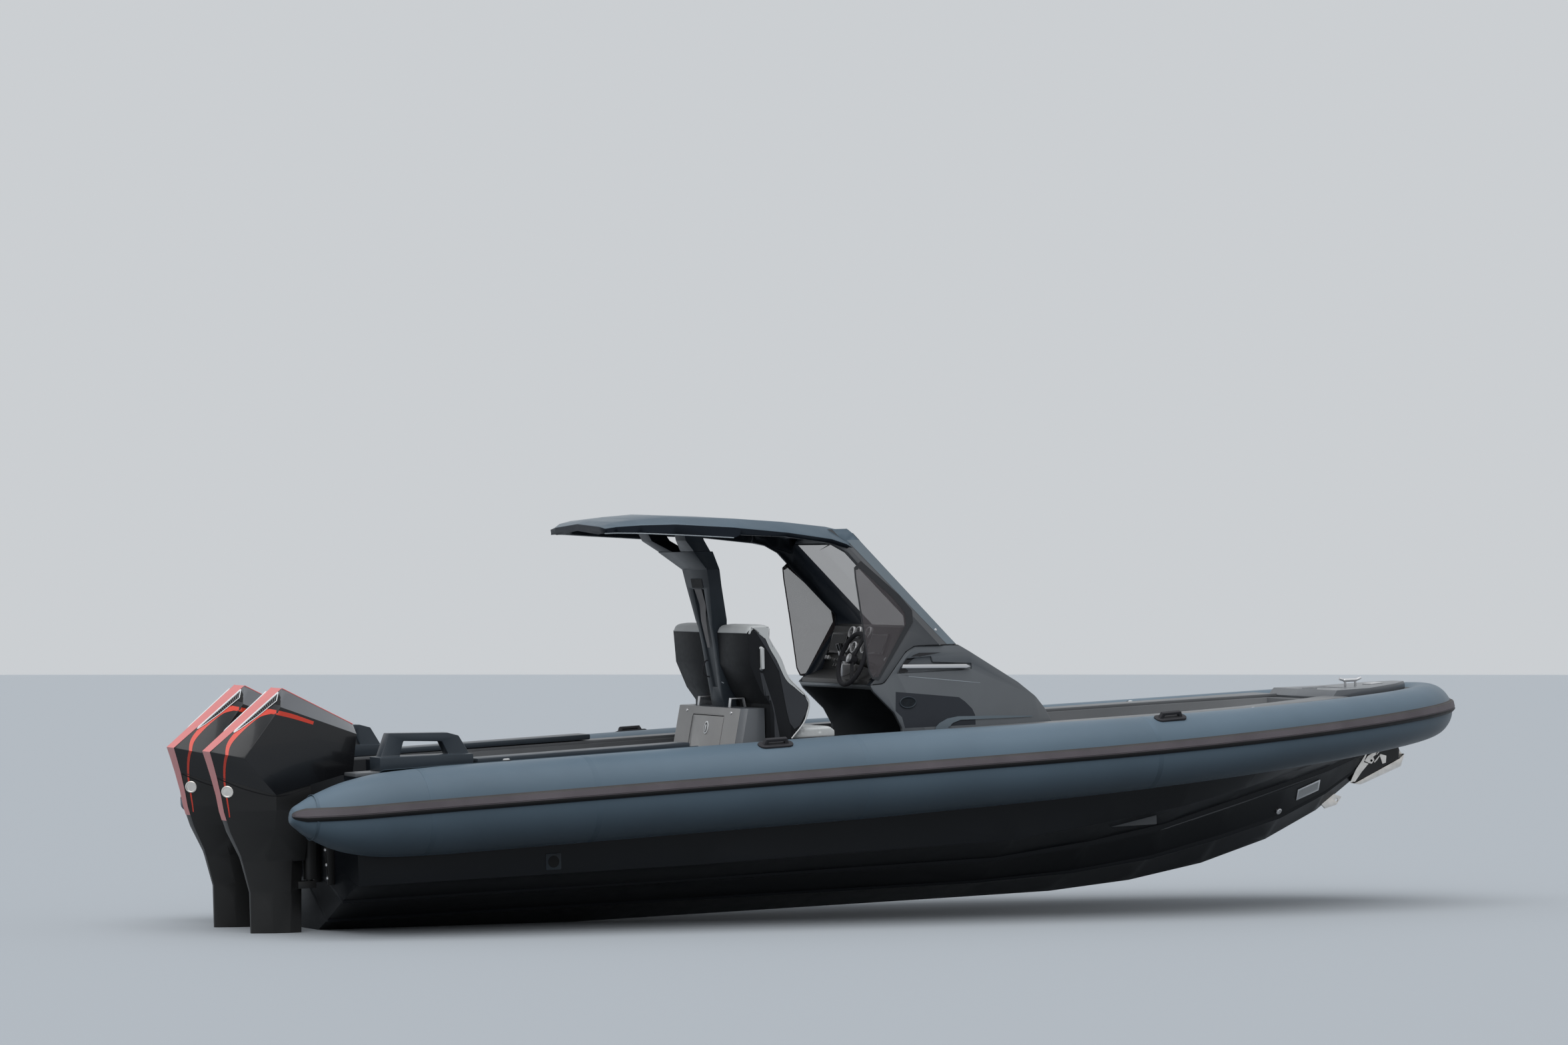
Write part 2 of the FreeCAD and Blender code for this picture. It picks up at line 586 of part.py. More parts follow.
def tube_handle(x, tube):
    """Moulded grab handle on the port tube's shoulder, its patch cut to the tube."""
    rise = tube_z(x + 1.0) - tube_z(x - 1.0)
    ahead = V(2.0, tube_y(x + 1.0) - tube_y(x - 1.0), rise).normalize()
    station = (V(x, tube_y(x), tube_z(x)), V(ahead.x, ahead.y, 0).normalize(), tube_r(x))
    radial = on_tube(station, HANDLE_ANGLE, 1.0) - station[0]
    out = (radial - ahead * radial.dot(ahead)).normalize()
    across = out.cross(ahead)
    seat = station[0] + out * station[2]
    long, wide, corner = HANDLE_BASE
    outline = [V(-long, -wide, -HANDLE_PLATE), V(long, -wide, -HANDLE_PLATE),
               V(long, wide, -HANDLE_PLATE), V(-long, wide, -HANDLE_PLATE)]
    patch = Part.Face(rounded(outline, corner)).extrude(V(0, 0, 2.0 * HANDLE_PLATE))
    grip = side_plate(HANDLE_GRIP, -HANDLE_GRIP_HALF, HANDLE_GRIP_HALF)
    handle = fused(patch, grip)
    handle.Placement = FreeCAD.Placement(FreeCAD.Matrix(
        ahead.x, across.x, out.x, seat.x,
        ahead.y, across.y, out.y, seat.y,
        ahead.z, across.z, out.z, seat.z,
        0, 0, 0, 1))
    return largest(handle.cut(tube))


# Hull and deck
def sheer(x):
    """Height of the hull's top edge."""
    return tube_z(x) + FLANGE_LIFT * tube_r(x)


def hull_section(x, keel, low_y, low_z, up_y, up_z, chine_y, chine_z, rail):
    """Half section of the hull, keel to top edge."""
    edge_y = max(tube_inner(x, FLANGE_SHARE), chine_y + rail + 2.0)
    low_slope = (low_z - keel) / low_y
    up_slope = (up_z - low_z) / (up_y - low_y)
    return [
        (0.0, keel),
        (low_y, low_z), (low_y + rail, low_z), (low_y + rail, low_z + rail * low_slope),
        (up_y, up_z), (up_y + rail, up_z), (up_y + rail, up_z + rail * up_slope),
        (chine_y, chine_z), (chine_y + rail, chine_z),
        (edge_y, tube_z(x) - FLANGE_LIFT * tube_r(x)),
        (edge_y, sheer(x)),
    ]


def hull_raw():
    """Hull and side decks before the cockpit and the tube recess are cut."""
    wires = []
    for row in HULL_SECTIONS:
        half = hull_section(*row)
        port = [V(row[0], y, z) for y, z in half]
        starboard = [V(row[0], -y, z) for y, z in reversed(half[1:])]
        wires.append(polygon(port + starboard))
    return loft(wires)


def cockpit_outline(inset):
    """Whole cockpit outline in plan, inset all round."""
    half = [(x, y - inset) for x, y in COCKPIT]
    half[0] = (half[0][0] + inset, half[0][1])
    half[-1] = (half[-1][0] - inset, half[-1][1])
    return whole(half)


def cockpit_space(inset, z_high):
    """Room inside the cockpit and over the bow lounge, inset from the hull's faces."""
    drop = SOLE_THICK if inset == 0.0 else 0.0
    room = plan_plate(cockpit_outline(inset), SOLE_Z - drop, z_high)
    lounge = centred_block(LOUNGE_X - inset, BOW_DECK_X, TUBE_Y, SOLE_Z - SOLE_THICK, LOUNGE_Z - drop)
    return room.cut(lounge)


def between(rows, x):
    """Value at x on the straight lines through (x, value) rows."""
    for (x0, v0), (x1, v1) in zip(rows, rows[1:]):
        if x0 <= x <= x1:
            return v0 + (v1 - v0) * (x - x0) / (x1 - x0)
    return rows[0][1] if x < rows[0][0] else rows[-1][1]


SHEER_LINE = [(row[0], sheer(row[0])) for row in HULL_SECTIONS]


def stops(x_low, x_high):
    """The ends of a stretch and the hull sections between them."""
    return [x_low] + [row[0] for row in HULL_SECTIONS if x_low < row[0] < x_high] + [x_high]


def sheer_block(x_low, x_high, above, height):
    """Wide slab whose underside lies above the hull's top edge."""
    lower = [(x, between(SHEER_LINE, x) + above) for x in stops(x_low, x_high)]
    upper = [(x, z + height) for x, z in reversed(lower)]
    return side_plate(lower + upper, -HIGH, HIGH)


def side_deck(x_low, x_high, lip, gap, above, height):
    """Port strip on top of the hull's edge, between cockpit and tube."""
    inner = [(x, between(COCKPIT, x) - lip) for x in stops(x_low, x_high)]
    outer = [(x, tube_inner(x, FLANGE_SHARE) - gap) for x in reversed(stops(x_low, x_high))]
    strip = plan_plate(inner + outer, 0.0, HIGH)
    return strip.common(sheer_block(x_low - 1.0, x_high + 1.0, above, height))


def hull_body(tube):
    """Hull with its cockpit, splash well, motor notch and anchor locker."""
    inside = TRANSOM_X + TRANSOM_THICK
    body = hull_raw().cut(cockpit_space(0.0, HIGH))
    body = body.cut(centred_block(inside, WELL_FRONT_X, WELL_HALF, WELL_FLOOR, HIGH))
    body = body.cut(centred_block(TRANSOM_X - 10.0, WELL_FRONT_X, WELL_HALF, TRANSOM_TOP, HIGH))
    floor = sheer(BOW_DECK_X) - LOCKER_DEPTH
    body = body.cut(centred_block(*LOCKER_X, LOCKER_HALF, floor, HIGH))
    return largest(body.cut(tube))


def cockpit_liner():
    """Sole, walls and bow lounge in one moulding, up to the hull's top edge."""
    shell = cockpit_space(0.0, HIGH).cut(cockpit_space(LINER_THICK, HIGH + 10.0))
    return shell.cut(sheer_block(TRANSOM_X, BOW_DECK_X, 0.0, HIGH))


def stern_arch(tube):
    """Port grab arch and the quarter moulding below it."""
    base = side_deck(ARCH_X - 30.0, ARCH_X + ARCH_RUN, COAMING_LIP, 14.0, COAMING_LOW, 200.0)
    base = base.cut(tube).cut(block(TRANSOM_X, 0.0, 0.0, HIGH, QUARTER_TOP, HIGH))
    outer = side_plate(shifted(ARCH_OUTER, ARCH_X, QUARTER_TOP), *ARCH_Y)
    hole = side_plate(shifted(ARCH_HOLE, ARCH_X, QUARTER_TOP), ARCH_Y[0] - 5.0, ARCH_Y[1] + 5.0)
    return fused(base, outer.cut(hole))


def stern_bench():
    """Bench across the cockpit in front of the splash well, with a toe recess."""
    half = between(COCKPIT, BENCH_X[0]) - LINER_THICK - FIT
    deep, high = TOE_KICK
    side = ((BENCH_X[0], SOLE_Z), (BENCH_X[1] - deep, SOLE_Z), (BENCH_X[1] - deep, SOLE_Z + high),
            (BENCH_X[1], SOLE_Z + high + deep / 2.0), (BENCH_X[1], BENCH_TOP), (BENCH_X[0], BENCH_TOP))
    return side_plate(side, -half, half)


def stern_cushion():
    """Seat cushion of the stern bench."""
    half = between(COCKPIT, BENCH_X[0]) - LINER_THICK - CUSHION_INSET
    return centred_block(BENCH_X[0] + 60.0, BENCH_X[1] - 5.0, half, BENCH_TOP + FIT,
                         BENCH_TOP + CUSHION_THICK)


def bow_cushion():
    """Cushion of the bow lounge."""
    outline = cockpit_outline(LINER_THICK + CUSHION_INSET)
    pad = plan_plate(outline, LOUNGE_Z + FIT, LOUNGE_Z + CUSHION_THICK)
    return pad.common(centred_block(LOUNGE_X + 10.0, BOW_DECK_X, TUBE_Y, 0.0, HIGH))


def bow_step(tube):
    """Raised step on the bow deck, open over the anchor locker."""
    side = shifted(STEP_SIDE, BOW_DECK_X)
    first, last = side[0][0], side[-1][0]
    side += [(x, between(SHEER_LINE, x)) for x in reversed(stops(first, last))]
    plan = whole(shifted(STEP_PLAN, BOW_DECK_X))
    body = plan_plate(plan, 0.0, HIGH).common(side_plate(side, -HIGH, HIGH)).cut(tube)
    body = body.cut(centred_block(*LOCKER_X, LOCKER_HALF, 0.0, HIGH))
    return largest(body.cut(knuckle(LOCKER_X[0] + FIT, LID_TOP, LOCKER_HALF, FIT)))


def knuckle(x, z, half, play):
    """Round of a hinge across the boat, play larger than the hinge."""
    return cross_rod(x, z, HINGE_SHARE * half + play, HINGE_R + play)


def locker_lid():
    """Lid of the anchor locker, flush with the step and hinged at its aft edge."""
    lid = centred_block(LOCKER_X[0] + FIT, LOCKER_X[1] - LID_GAP, LOCKER_HALF - LID_GAP,
                        LID_TOP - LID_THICK, LID_TOP)
    return fused(lid, knuckle(LOCKER_X[0] + FIT, LID_TOP, LOCKER_HALF, 0.0))


# Roof, console and helm
def roof_body():
    """Shallow inverted tray, thick at its edge."""
    step_a, step_b, step_c = ROOF_RIM
    wires = []
    for x, half, shoulder, bevel, side in ROOF_SECTIONS:
        under = shoulder - bevel - side
        right = [
            (0.0, shoulder + ROOF_CROWN),
            (half - ROOF_SHOULDER, shoulder),
            (half, shoulder - bevel),
            (half - step_a, under),
            (half - step_b, under),
            (half - step_c, shoulder - ROOF_SHELL - 5.0),
            (0.0, shoulder + ROOF_CROWN - ROOF_SHELL),
        ]
        left = [(-y, z) for y, z in reversed(right[1:-1])]
        wires.append(polygon([V(x, y, z) for y, z in right + left]))
    return loft(wires)


def console_prism(wall):
    """Upright prism on the console's plan, wall inside its outer face."""
    half = [(x, CONSOLE_HALF - inset - wall) for x, inset in CONSOLE_PLAN]
    return plan_plate(whole(half), 0.0, 2.0 * HIGH)


def console_body():
    """Console shell with its cabin, knee room and the scoops for the grab bars."""
    outer = side_plate(KNEE_CUT + SEAM + NOSE, -HIGH, HIGH).common(console_prism(0.0))
    inner = side_plate(CABIN, -HIGH, HIGH).common(console_prism(CONSOLE_WALL))
    scoop = side_plate(SCOOP, CONSOLE_HALF - SCOOP_DEEP, HIGH)
    return outer.cut(inner).cut(scoop).cut(mirrored(scoop))


def console_bar(console):
    """Port grab bar in the console's scoop, on two feet."""
    bar = side_plate(BAR_SIDE, CONSOLE_HALF - BAR_DEPTH[0], CONSOLE_HALF + BAR_DEPTH[1])
    foot = side_plate(BAR_FOOT, CONSOLE_HALF - SCOOP_DEEP, CONSOLE_HALF)
    other = moved(foot, x=BAR_FOOT_STEP[0], z=BAR_FOOT_STEP[1])
    return largest(fused(bar, foot, other).cut(console))


def wheel_frame():
    """Centre and axis of the steering wheel."""
    return V(*WHEEL), V(*WHEEL_TILT).normalize()


def dash_panel(console):
    """Dash between the frame's side panels, with the steering column."""
    front = DASH_TOP[0][0]
    side = SEAM[:5] + ((front, between(SEAM, front)),) + DASH_TOP
    body = side_plate(side, -FRAME_IN + FIT, FRAME_IN - FIT)
    centre, axis = wheel_frame()
    foot, spindle_foot, end, spindle_end = COLUMN_RUN
    housing = rod(centre - axis * foot, centre - axis * end, COLUMN_HOUSING_R)
    spindle = rod(centre - axis * spindle_foot, centre + axis * spindle_end, COLUMN_R)
    return largest(fused(body, housing, spindle).cut(console))


def steering_wheel():
    """Rim, hub and three spokes, bored for the column's spindle."""
    centre, axis = wheel_frame()
    rim = Part.makeTorus(WHEEL_R, RIM_R, centre, axis)
    hub = rod(centre - axis * 20.0, centre + axis * 22.0, HUB_R)
    wide, thick = SPOKE
    tilt = FreeCAD.Placement(centre, FreeCAD.Rotation(UP, axis))
    spokes = []
    for turn in SPOKE_TURNS:
        spoke = Part.makeBox(WHEEL_R, wide, thick, V(0, -wide / 2.0, -thick / 2.0))
        spoke.Placement = tilt.multiply(FreeCAD.Placement(ORIGIN, FreeCAD.Rotation(UP, turn)))
        spokes.append(spoke)
    bore = rod(centre - axis * 30.0, centre + axis * (COLUMN_RUN[3] + PIN_PLAY), COLUMN_R + PIN_PLAY)
    return fused(hub, rim, *spokes).cut(bore)


def throttle(dash, console):
    """Twin-lever throttle on the dash ledge."""
    levers = [side_plate(LEVER, y, y + LEVER_THICK) for y in LEVER_Y]
    return largest(fused(block(*THROTTLE_BOX), *levers).cut(dash).cut(console))


def screen_strip(start, stop, near, far, half):
    """Flat strip parallel to the windscreen, from start to stop up it."""
    foot, head = V(SCREEN_FOOT[0], 0, SCREEN_FOOT[1]), V(SCREEN_HEAD[0], 0, SCREEN_HEAD[1])
    up = (head - foot).normalize()
    inward = V(-up.z, 0, up.x)
    ends = ((start, near), (stop, near), (stop, far), (start, far))
    corners = [foot + up * along + inward * depth for along, depth in ends]
    return side_plate([(c.x, c.z) for c in corners], -half, half)


def screen_length():
    """Length of the windscreen from its foot to its head."""
    return math.dist(SCREEN_FOOT, SCREEN_HEAD)


def pillar_wedge():
    """What the bevel takes off the port panel's forward corner, along the screen's edge."""
    foot, head = V(SCREEN_FOOT[0], 0, SCREEN_FOOT[1]), V(SCREEN_HEAD[0], 0, SCREEN_HEAD[1])
    inner, outer = V(0, FRAME_IN, 0), V(-PILLAR_CHAMFER, CONSOLE_HALF, 0)
    over = (outer - inner) * CHAMFER_OVER
    run = head - foot
    corners = [inner - over, outer + over, V(-over.x, CONSOLE_HALF + PANEL_THICK, 0)]
    face = Part.Face(polygon([foot - run * CHAMFER_OVER + corner for corner in corners]))
    return face.extrude(run * (1.0 + 2.0 * CHAMFER_OVER))


def windscreen_frame(roof, console, dash):
    """Side panels with their window openings, joined by sill and header."""
    panel = side_plate(SEAM + PANEL_HEAD + WINDOW, FRAME_IN, CONSOLE_HALF).cut(pillar_wedge())
    wide, thick = CROSSBAR
    sill = screen_strip(SILL_START, wide, 0.0, thick, FRAME_IN + 1.0)
    top = screen_length()
    header = screen_strip(top - wide, top + HEADER_OVER, 0.0, thick, FRAME_IN + 1.0)
    return largest(fused(panel, mirrored(panel), sill, header).cut(roof).cut(console).cut(dash))


def windscreen():
    """Windscreen glass between sill, header and side panels."""
    wide = CROSSBAR[0]
    return screen_strip(wide, screen_length() - wide, GLASS_IN, GLASS_IN + GLASS_THICK, FRAME_IN)


def pylon(roof):
    """Mast with its recessed aft face and two arms to the roof."""
    mast = loft([polygon([V(a, -h, z), V(b, -h, z), V(b, h, z), V(a, h, z)]) for z, a, b, h in PYLON])
    arm = loft([polygon([V(a, i, z), V(b, i, z), V(b, o, z), V(a, o, z)])
                for z, a, b, i, o in PYLON_ARM])
    wires = []
    for z, face, half in PYLON_RECESS:
        aft, fore = face - RECESS_CLEAR, face + RECESS_DEEP
        wires.append(polygon([V(aft, -half, z), V(fore, -half, z), V(fore, half, z), V(aft, half, z)]))
    return largest(fused(mast, arm, mirrored(arm)).cut(loft(wires)).cut(roof))


# Aft unit
def on_face(z):
    """Point on the unit's sloping aft face."""
    share = (z - SOLE_Z) / (UNIT_TOP - SOLE_Z)
    return V(UNIT_FOOT_X + (UNIT_TOP_X - UNIT_FOOT_X) * share, 0, z)


def face_slab(z_low, z_high, out, deep, half):
    """Slab lying along the aft face."""
    run = (on_face(UNIT_TOP) - on_face(SOLE_Z)).normalize()
    inward = V(run.z, 0, -run.x)
    corners = [on_face(z_low) - inward * out, on_face(z_high) - inward * out,
               on_face(z_high) + inward * deep, on_face(z_low) + inward * deep]
    return side_plate([(c.x, c.z) for c in corners], -half, half)


def aft_unit():
    """Unit behind the seats, chamfered aft, with a pocket behind its door."""
    side = ((UNIT_FOOT_X, SOLE_Z), (UNIT_TOP_X, UNIT_TOP), (UNIT_FRONT_X, UNIT_TOP),
            (UNIT_FRONT_X, SOLE_Z))
    body = side_plate(side, -UNIT_HALF, UNIT_HALF)
    foot = on_face(0.0)
    for turn in (1, -1):
        outer = turn * (UNIT_HALF + 5.0)
        inner = turn * (UNIT_HALF - UNIT_CHAMFER)
        wedge = Part.Face(polygon([foot + V(-40.0, outer, 0), foot + V(-40.0, inner, 0),
                                   foot + V(45.0, outer, 0)]))
        body = body.cut(wedge.extrude((on_face(UNIT_TOP) - foot) * 1.2))
    pocket = face_slab(DOOR_Z[0] - FIT, DOOR_Z[1] + LID_GAP, 20.0, POCKET_DEEP, DOOR_HALF + LID_GAP)
    room = centred_block(2.0 * UNIT_FOOT_X, UNIT_FRONT_X - POCKET_WALL, UNIT_HALF, 0.0,
                         UNIT_TOP - POCKET_WALL / 2.0)
    hinge = on_face(DOOR_Z[0])
    return largest(body.cut(pocket.common(room)).cut(knuckle(hinge.x, hinge.z, DOOR_HALF, FIT)))


def aft_unit_door():
    """Door lying in the aft face, hinged at its foot."""
    hinge = on_face(DOOR_Z[0])
    slab = face_slab(*DOOR_Z, 0.0, DOOR_THICK, DOOR_HALF)
    return fused(slab, knuckle(hinge.x, hinge.z, DOOR_HALF, 0.0))


# Seats
def seat_shell():
    """Bucket shell: back, pan and two wings."""
    wing = side_plate(SEAT_REAR + WING_FRONT, SEAT_HALF - SHELL, SEAT_HALF)
    back = side_plate(SEAT_REAR + BACK_FRONT, -SEAT_HALF, SEAT_HALF)
    return fused(back, wing, mirrored(wing), side_plate(PAN, -SEAT_HALF, SEAT_HALF))


def seat_pad(outline):
    """Upholstered pad between the shell's wings."""
    half = SEAT_HALF - SHELL - SOFT
    return side_plate(outline, -half, half)


def save_seats(name, shape):
    """Writes one piece of both seats."""
    save(name, moved(shape, y=SEAT_Y), moved(shape, y=-SEAT_Y))


# Bow fittings
def bow_cleat(step):
    """Bar on two posts, with a round root and a rising horn at each end."""
    start, stop, root_r = CLEAT_MIDDLE
    horn_r, length, rise = CLEAT_HORN
    reach = math.sqrt(root_r ** 2 - horn_r ** 2) + length
    pieces = [rod(V(start, 0, CLEAT_Z), V(stop, 0, CLEAT_Z), root_r)]
    for x, way in ((start, -1.0), (stop, 1.0)):
        root = V(x, 0, CLEAT_Z)
        aim = V(way * math.cos(math.radians(rise)), 0, math.sin(math.radians(rise)))
        pieces += [Part.makeSphere(root_r, root), rod(root, root + aim * reach, horn_r)]
    pieces += [upright_rod(x, LID_TOP - 10.0, CLEAT_Z, CLEAT_POST_R) for x in CLEAT_POST_X]
    return largest(fused(*pieces).cut(step))


def bow_roller(hull, tube):
    """Cheek plates with the roller between them."""
    cheek = side_plate(CHEEK, *CHEEK_Y)
    roller = cross_rod(*ROLLER, CHEEK_Y[0] + 4.0, ROLLER_R)
    return largest(fused(roller, cheek, mirrored(cheek)).cut(hull).cut(tube))


def anchor(roller, hull):
    """Stowed anchor: shank over the roller, fluke under it."""
    shank = side_plate(SHANK, -SHANK_HALF, SHANK_HALF)
    fluke = side_plate(FLUKE, -FLUKE_HALF, FLUKE_HALF)
    return largest(fused(shank, fluke).cut(roller).cut(hull))


def bow_eye(hull):
    """Plate with a towing hole, low on the stem."""
    hole = cross_rod(*EYE_HOLE, 3.0 * EYE_HALF, EYE_HOLE_R)
    return largest(side_plate(EYE, -EYE_HALF, EYE_HALF).cut(hole).cut(hull))


# Outboards, built on the centreline about the top edge of the transom's aft face
def clamp_bracket():
    """Transom clamp with its tilt pin."""
    inside = TRANSOM_THICK + FIT
    outline = CLAMP_OUT + ((inside, CLAMP_OUT[-1][1]), (inside, 0.0), (-FIT, 0.0), (-FIT, CLAMP_FOOT))
    plate = side_plate(outline + CLAMP_AFT, *CLAMP_Y)
    return fused(cross_rod(*TILT, CLAMP_Y[1] + PIN_OVER, PIN_R), plate, mirrored(plate))


def swivel_bracket():
    """Bracket that tilts on the clamp and carries the steering shaft."""
    body = fused(cross_rod(*TILT, BARREL_HALF, BARREL_R),
                 side_plate(SWIVEL_WEB, -SWIVEL_HALF, SWIVEL_HALF),
                 upright_rod(STEER_X, *SWIVEL_Z, SWIVEL_HALF))
    body = body.cut(cross_rod(*TILT, CLAMP_Y[1], PIN_R + PIN_PLAY))
    return body.cut(upright_rod(STEER_X, SHAFT_Z[0], SHAFT_Z[1], SHAFT_R + PIN_PLAY))


def cowl():
    """Faceted engine cover, lofted from one flat side to the other."""
    rows = []
    for turn in (-1.0, 1.0):
        flat = polygon([V(x, turn * COWL_HALF, z) for x, z in COWL_FLAT])
        edge = polygon([V(x, turn * half, z) for x, z, half in COWL_EDGE])
        rows += [flat, edge] if turn < 0.0 else [edge, flat]
    return loft(rows)


def lower_cover():
    """Wedge-tailed cover below the cowl, round the head of the leg."""
    wires = []
    for z, aft, aft_half, corner, half in LOWER_COVER:
        side = [(LOWER_COVER_FORE, half), (corner, half), (aft, aft_half)]
        wires.append(polygon([V(x, y, z) for x, y in whole(side)]))
    return loft(wires)


def drive_leg(cover):
    """Lower cover, leg, gearcase, skeg and steering yokes in one."""
    (nose, nose_run), (tail, tail_run) = LEG_NOSE, LEG_TAIL
    wires = []
    for z, aft, fore, half in LEG:
        side = [(fore, half * nose), (fore - nose_run, half), (aft + tail_run, half), (aft, half * tail)]
        wires.append(polygon([V(x, y, z) for x, y in whole(side)]))
    leg = loft(wires)
    torpedo = loft([Part.Wire(Part.makeCircle(r, V(x, 0, PROP_Z), V(1, 0, 0))) for x, r in GEARCASE])
    plate = plan_plate(whole(PLATE), *PLATE_Z)
    skeg = side_plate(SKEG, -SKEG_HALF, SKEG_HALF)
    shaft = upright_rod(STEER_X, *SHAFT_Z, SHAFT_R)
    arm = centred_block(STEER_X + 5.0, STEER_ARM_X, ARM_HALF, *ARM_Z)
    upper = centred_block(YOKE_TOP[0], STEER_X + 20.0, YOKE_TOP[1], YOKE_TOP[2], ARM_Z[1])
    lower = centred_block(YOKE_LOW[0], STEER_X + 30.0, *YOKE_LOW[1:])
    prop_shaft = rod(V(PROP_SHAFT_X[0], 0, PROP_Z), V(PROP_SHAFT_X[1], 0, PROP_Z), PROP_SHAFT_R)
    eye_pad = upright_rod(STEER_ARM_X, *ARM_Z, ARM_PAD_R)
    eye_pin = upright_rod(STEER_ARM_X, ARM_Z[0], ARM_PIN_TOP, ARM_PIN_R)
    body = fused(leg, lower_cover(), torpedo, plate, skeg, shaft, arm, upper, lower, prop_shaft)
    return largest(fused(body, eye_pad, eye_pin).cut(cover))


def propeller():
    """Three-bladed propeller on its hub."""
    middle_x = (PROP_X[0] + PROP_X[1]) / 2.0
    blades = []
    for turn in BLADE_TURNS:
        wires = []
        for radius, chord, pitch, thick in BLADE:
            lean = math.radians(pitch)
            along = V(math.sin(lean), math.cos(lean), 0) * chord
            off = V(math.cos(lean), -math.sin(lean), 0) * thick
            middle = V(middle_x, 0, PROP_Z + radius)
            wires.append(polygon([middle + along, middle + off, middle - along, middle - off]))
        blade = loft(wires)
        blade.rotate(V(0, 0, PROP_Z), V(1, 0, 0), turn)
        blades.append(blade)
    hub = rod(V(PROP_X[0], 0, PROP_Z), V(PROP_X[1], 0, PROP_Z), PROP_HUB_R)
    bore = rod(V(PROP_X[0] + 10.0, 0, PROP_Z), V(PROP_SHAFT_X[1] - 1.0, 0, PROP_Z),
               PROP_SHAFT_R + PIN_PLAY)
    return fused(hub, *blades).cut(bore)


def tie_bar():
    """Bar between the two steering arms, with an eye at each pin."""
    reach = ENGINE_Y - TIE_EYE_R / 2.0
    bar = rod(V(STEER_ARM_X, -reach, TIE_Z), V(STEER_ARM_X, reach, TIE_Z), TIE_R)
    eyes = [upright_rod(STEER_ARM_X, *TIE_EYE_Z, TIE_EYE_R, y) for y in (-ENGINE_Y, ENGINE_Y)]
    tie = fused(bar, *eyes)
    for y, play in ((-ENGINE_Y, PIN_PLAY), (ENGINE_Y, TIE_PLAY)):
        tie = tie.cut(upright_rod(STEER_ARM_X, 0.0, 2.0 * TIE_Z, ARM_PIN_R + play, y))
    return tie


def at_engine(shape, y):
    """Copy of an engine piece on the transom."""
    return moved(shape, TRANSOM_X, y, TRANSOM_TOP)


def main():
    """Builds and writes every node."""
    os.makedirs("parts", exist_ok=True)
    tube = tube_body(FIT)
    save("tube_collar", tube_body(0.0))
    save("rub_strake", strake().cut(tube))
    save_pair("tube_pads", tube_pad())
    handles = [tube_handle(x, tube) for x in HANDLE_X]
    save("tube_handles", *handles, *[mirrored(handle) for handle in handles])

    hull = hull_body(tube)
    save("hull", hull)
    save("cockpit_liner", cockpit_liner())
    save_pair("coaming", side_deck(TRANSOM_X, BOW_DECK_X, COAMING_LIP, 2.0, 0.0, COAMING_LOW).cut(tube))
    save_pair("side_bolsters", side_deck(*BOLSTER_X, BOLSTER_LIP, 10.0, COAMING_LOW, BOLSTER_HIGH).cut(tube))
    save_pair("stern_arches", stern_arch(tube))
    save("stern_bench", stern_bench())
    save("stern_cushion", stern_cushion())
    save("bow_cushion", bow_cushion())
    step = bow_step(tube)
    save("bow_step", step)
    save("anchor_locker_lid", locker_lid())

    roof = roof_body()
    save("roof", roof)
    console = console_body()
    save("console", console)
    save_pair("console_grab_bars", console_bar(console))
    dash = dash_panel(console)
    save("dash_panel", dash)
    save("steering_wheel", steering_wheel())
    save("throttle", throttle(dash, console))
    save("windscreen_frame", windscreen_frame(roof, console, dash))
    save("windscreen", windscreen())
    outside = CONSOLE_HALF + FIT
    save_pair("side_glass", side_plate(SIDE_GLASS, outside, outside + SIDE_GLASS_THICK))
    save("pylon", pylon(roof))

    save("aft_unit", aft_unit())
    save("aft_unit_door", aft_unit_door())
    save_pair("aft_unit_rails", side_plate(shifted(RAIL, 0.0, UNIT_TOP), *RAIL_Y))
    save_seats("seat_shells", seat_shell())
    save_seats("seat_squabs", seat_pad(SQUAB))
    save_seats("seat_backrests", seat_pad(BACKREST))
    save_seats("seat_pedestals", centred_block(*PEDESTAL_X, PEDESTAL_HALF, SOLE_Z, SEAT_PAN_Z))

    save("bow_cleat", bow_cleat(step))
    roller = bow_roller(hull, tube)
    save("bow_roller", roller)
    save("anchor", anchor(roller, hull))
    save("bow_eye", bow_eye(hull))

    cover = cowl()
    leg = drive_leg(cover)
    clamp = clamp_bracket()
    save("clamp_brackets", at_engine(clamp, ENGINE_Y), at_engine(clamp, -ENGINE_Y))
    for side, y in (("port", ENGINE_Y), ("starboard", -ENGINE_Y)):
        save("swivel_" + side, at_engine(swivel_bracket(), y))
        save("cowl_" + side, at_engine(cover, y))
        save("drive_leg_" + side, at_engine(leg, y))
        save("propeller_" + side, at_engine(propeller(), y))
    save("tie_bar", at_engine(tie_bar(), 0.0))


main()
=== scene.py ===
import logging
import math
from collections.abc import Callable, Sequence
from dataclasses import dataclass, replace
from enum import Enum

import bmesh
import bpy
from mathutils import Matrix, Vector
from mathutils.bvhtree import BVHTree


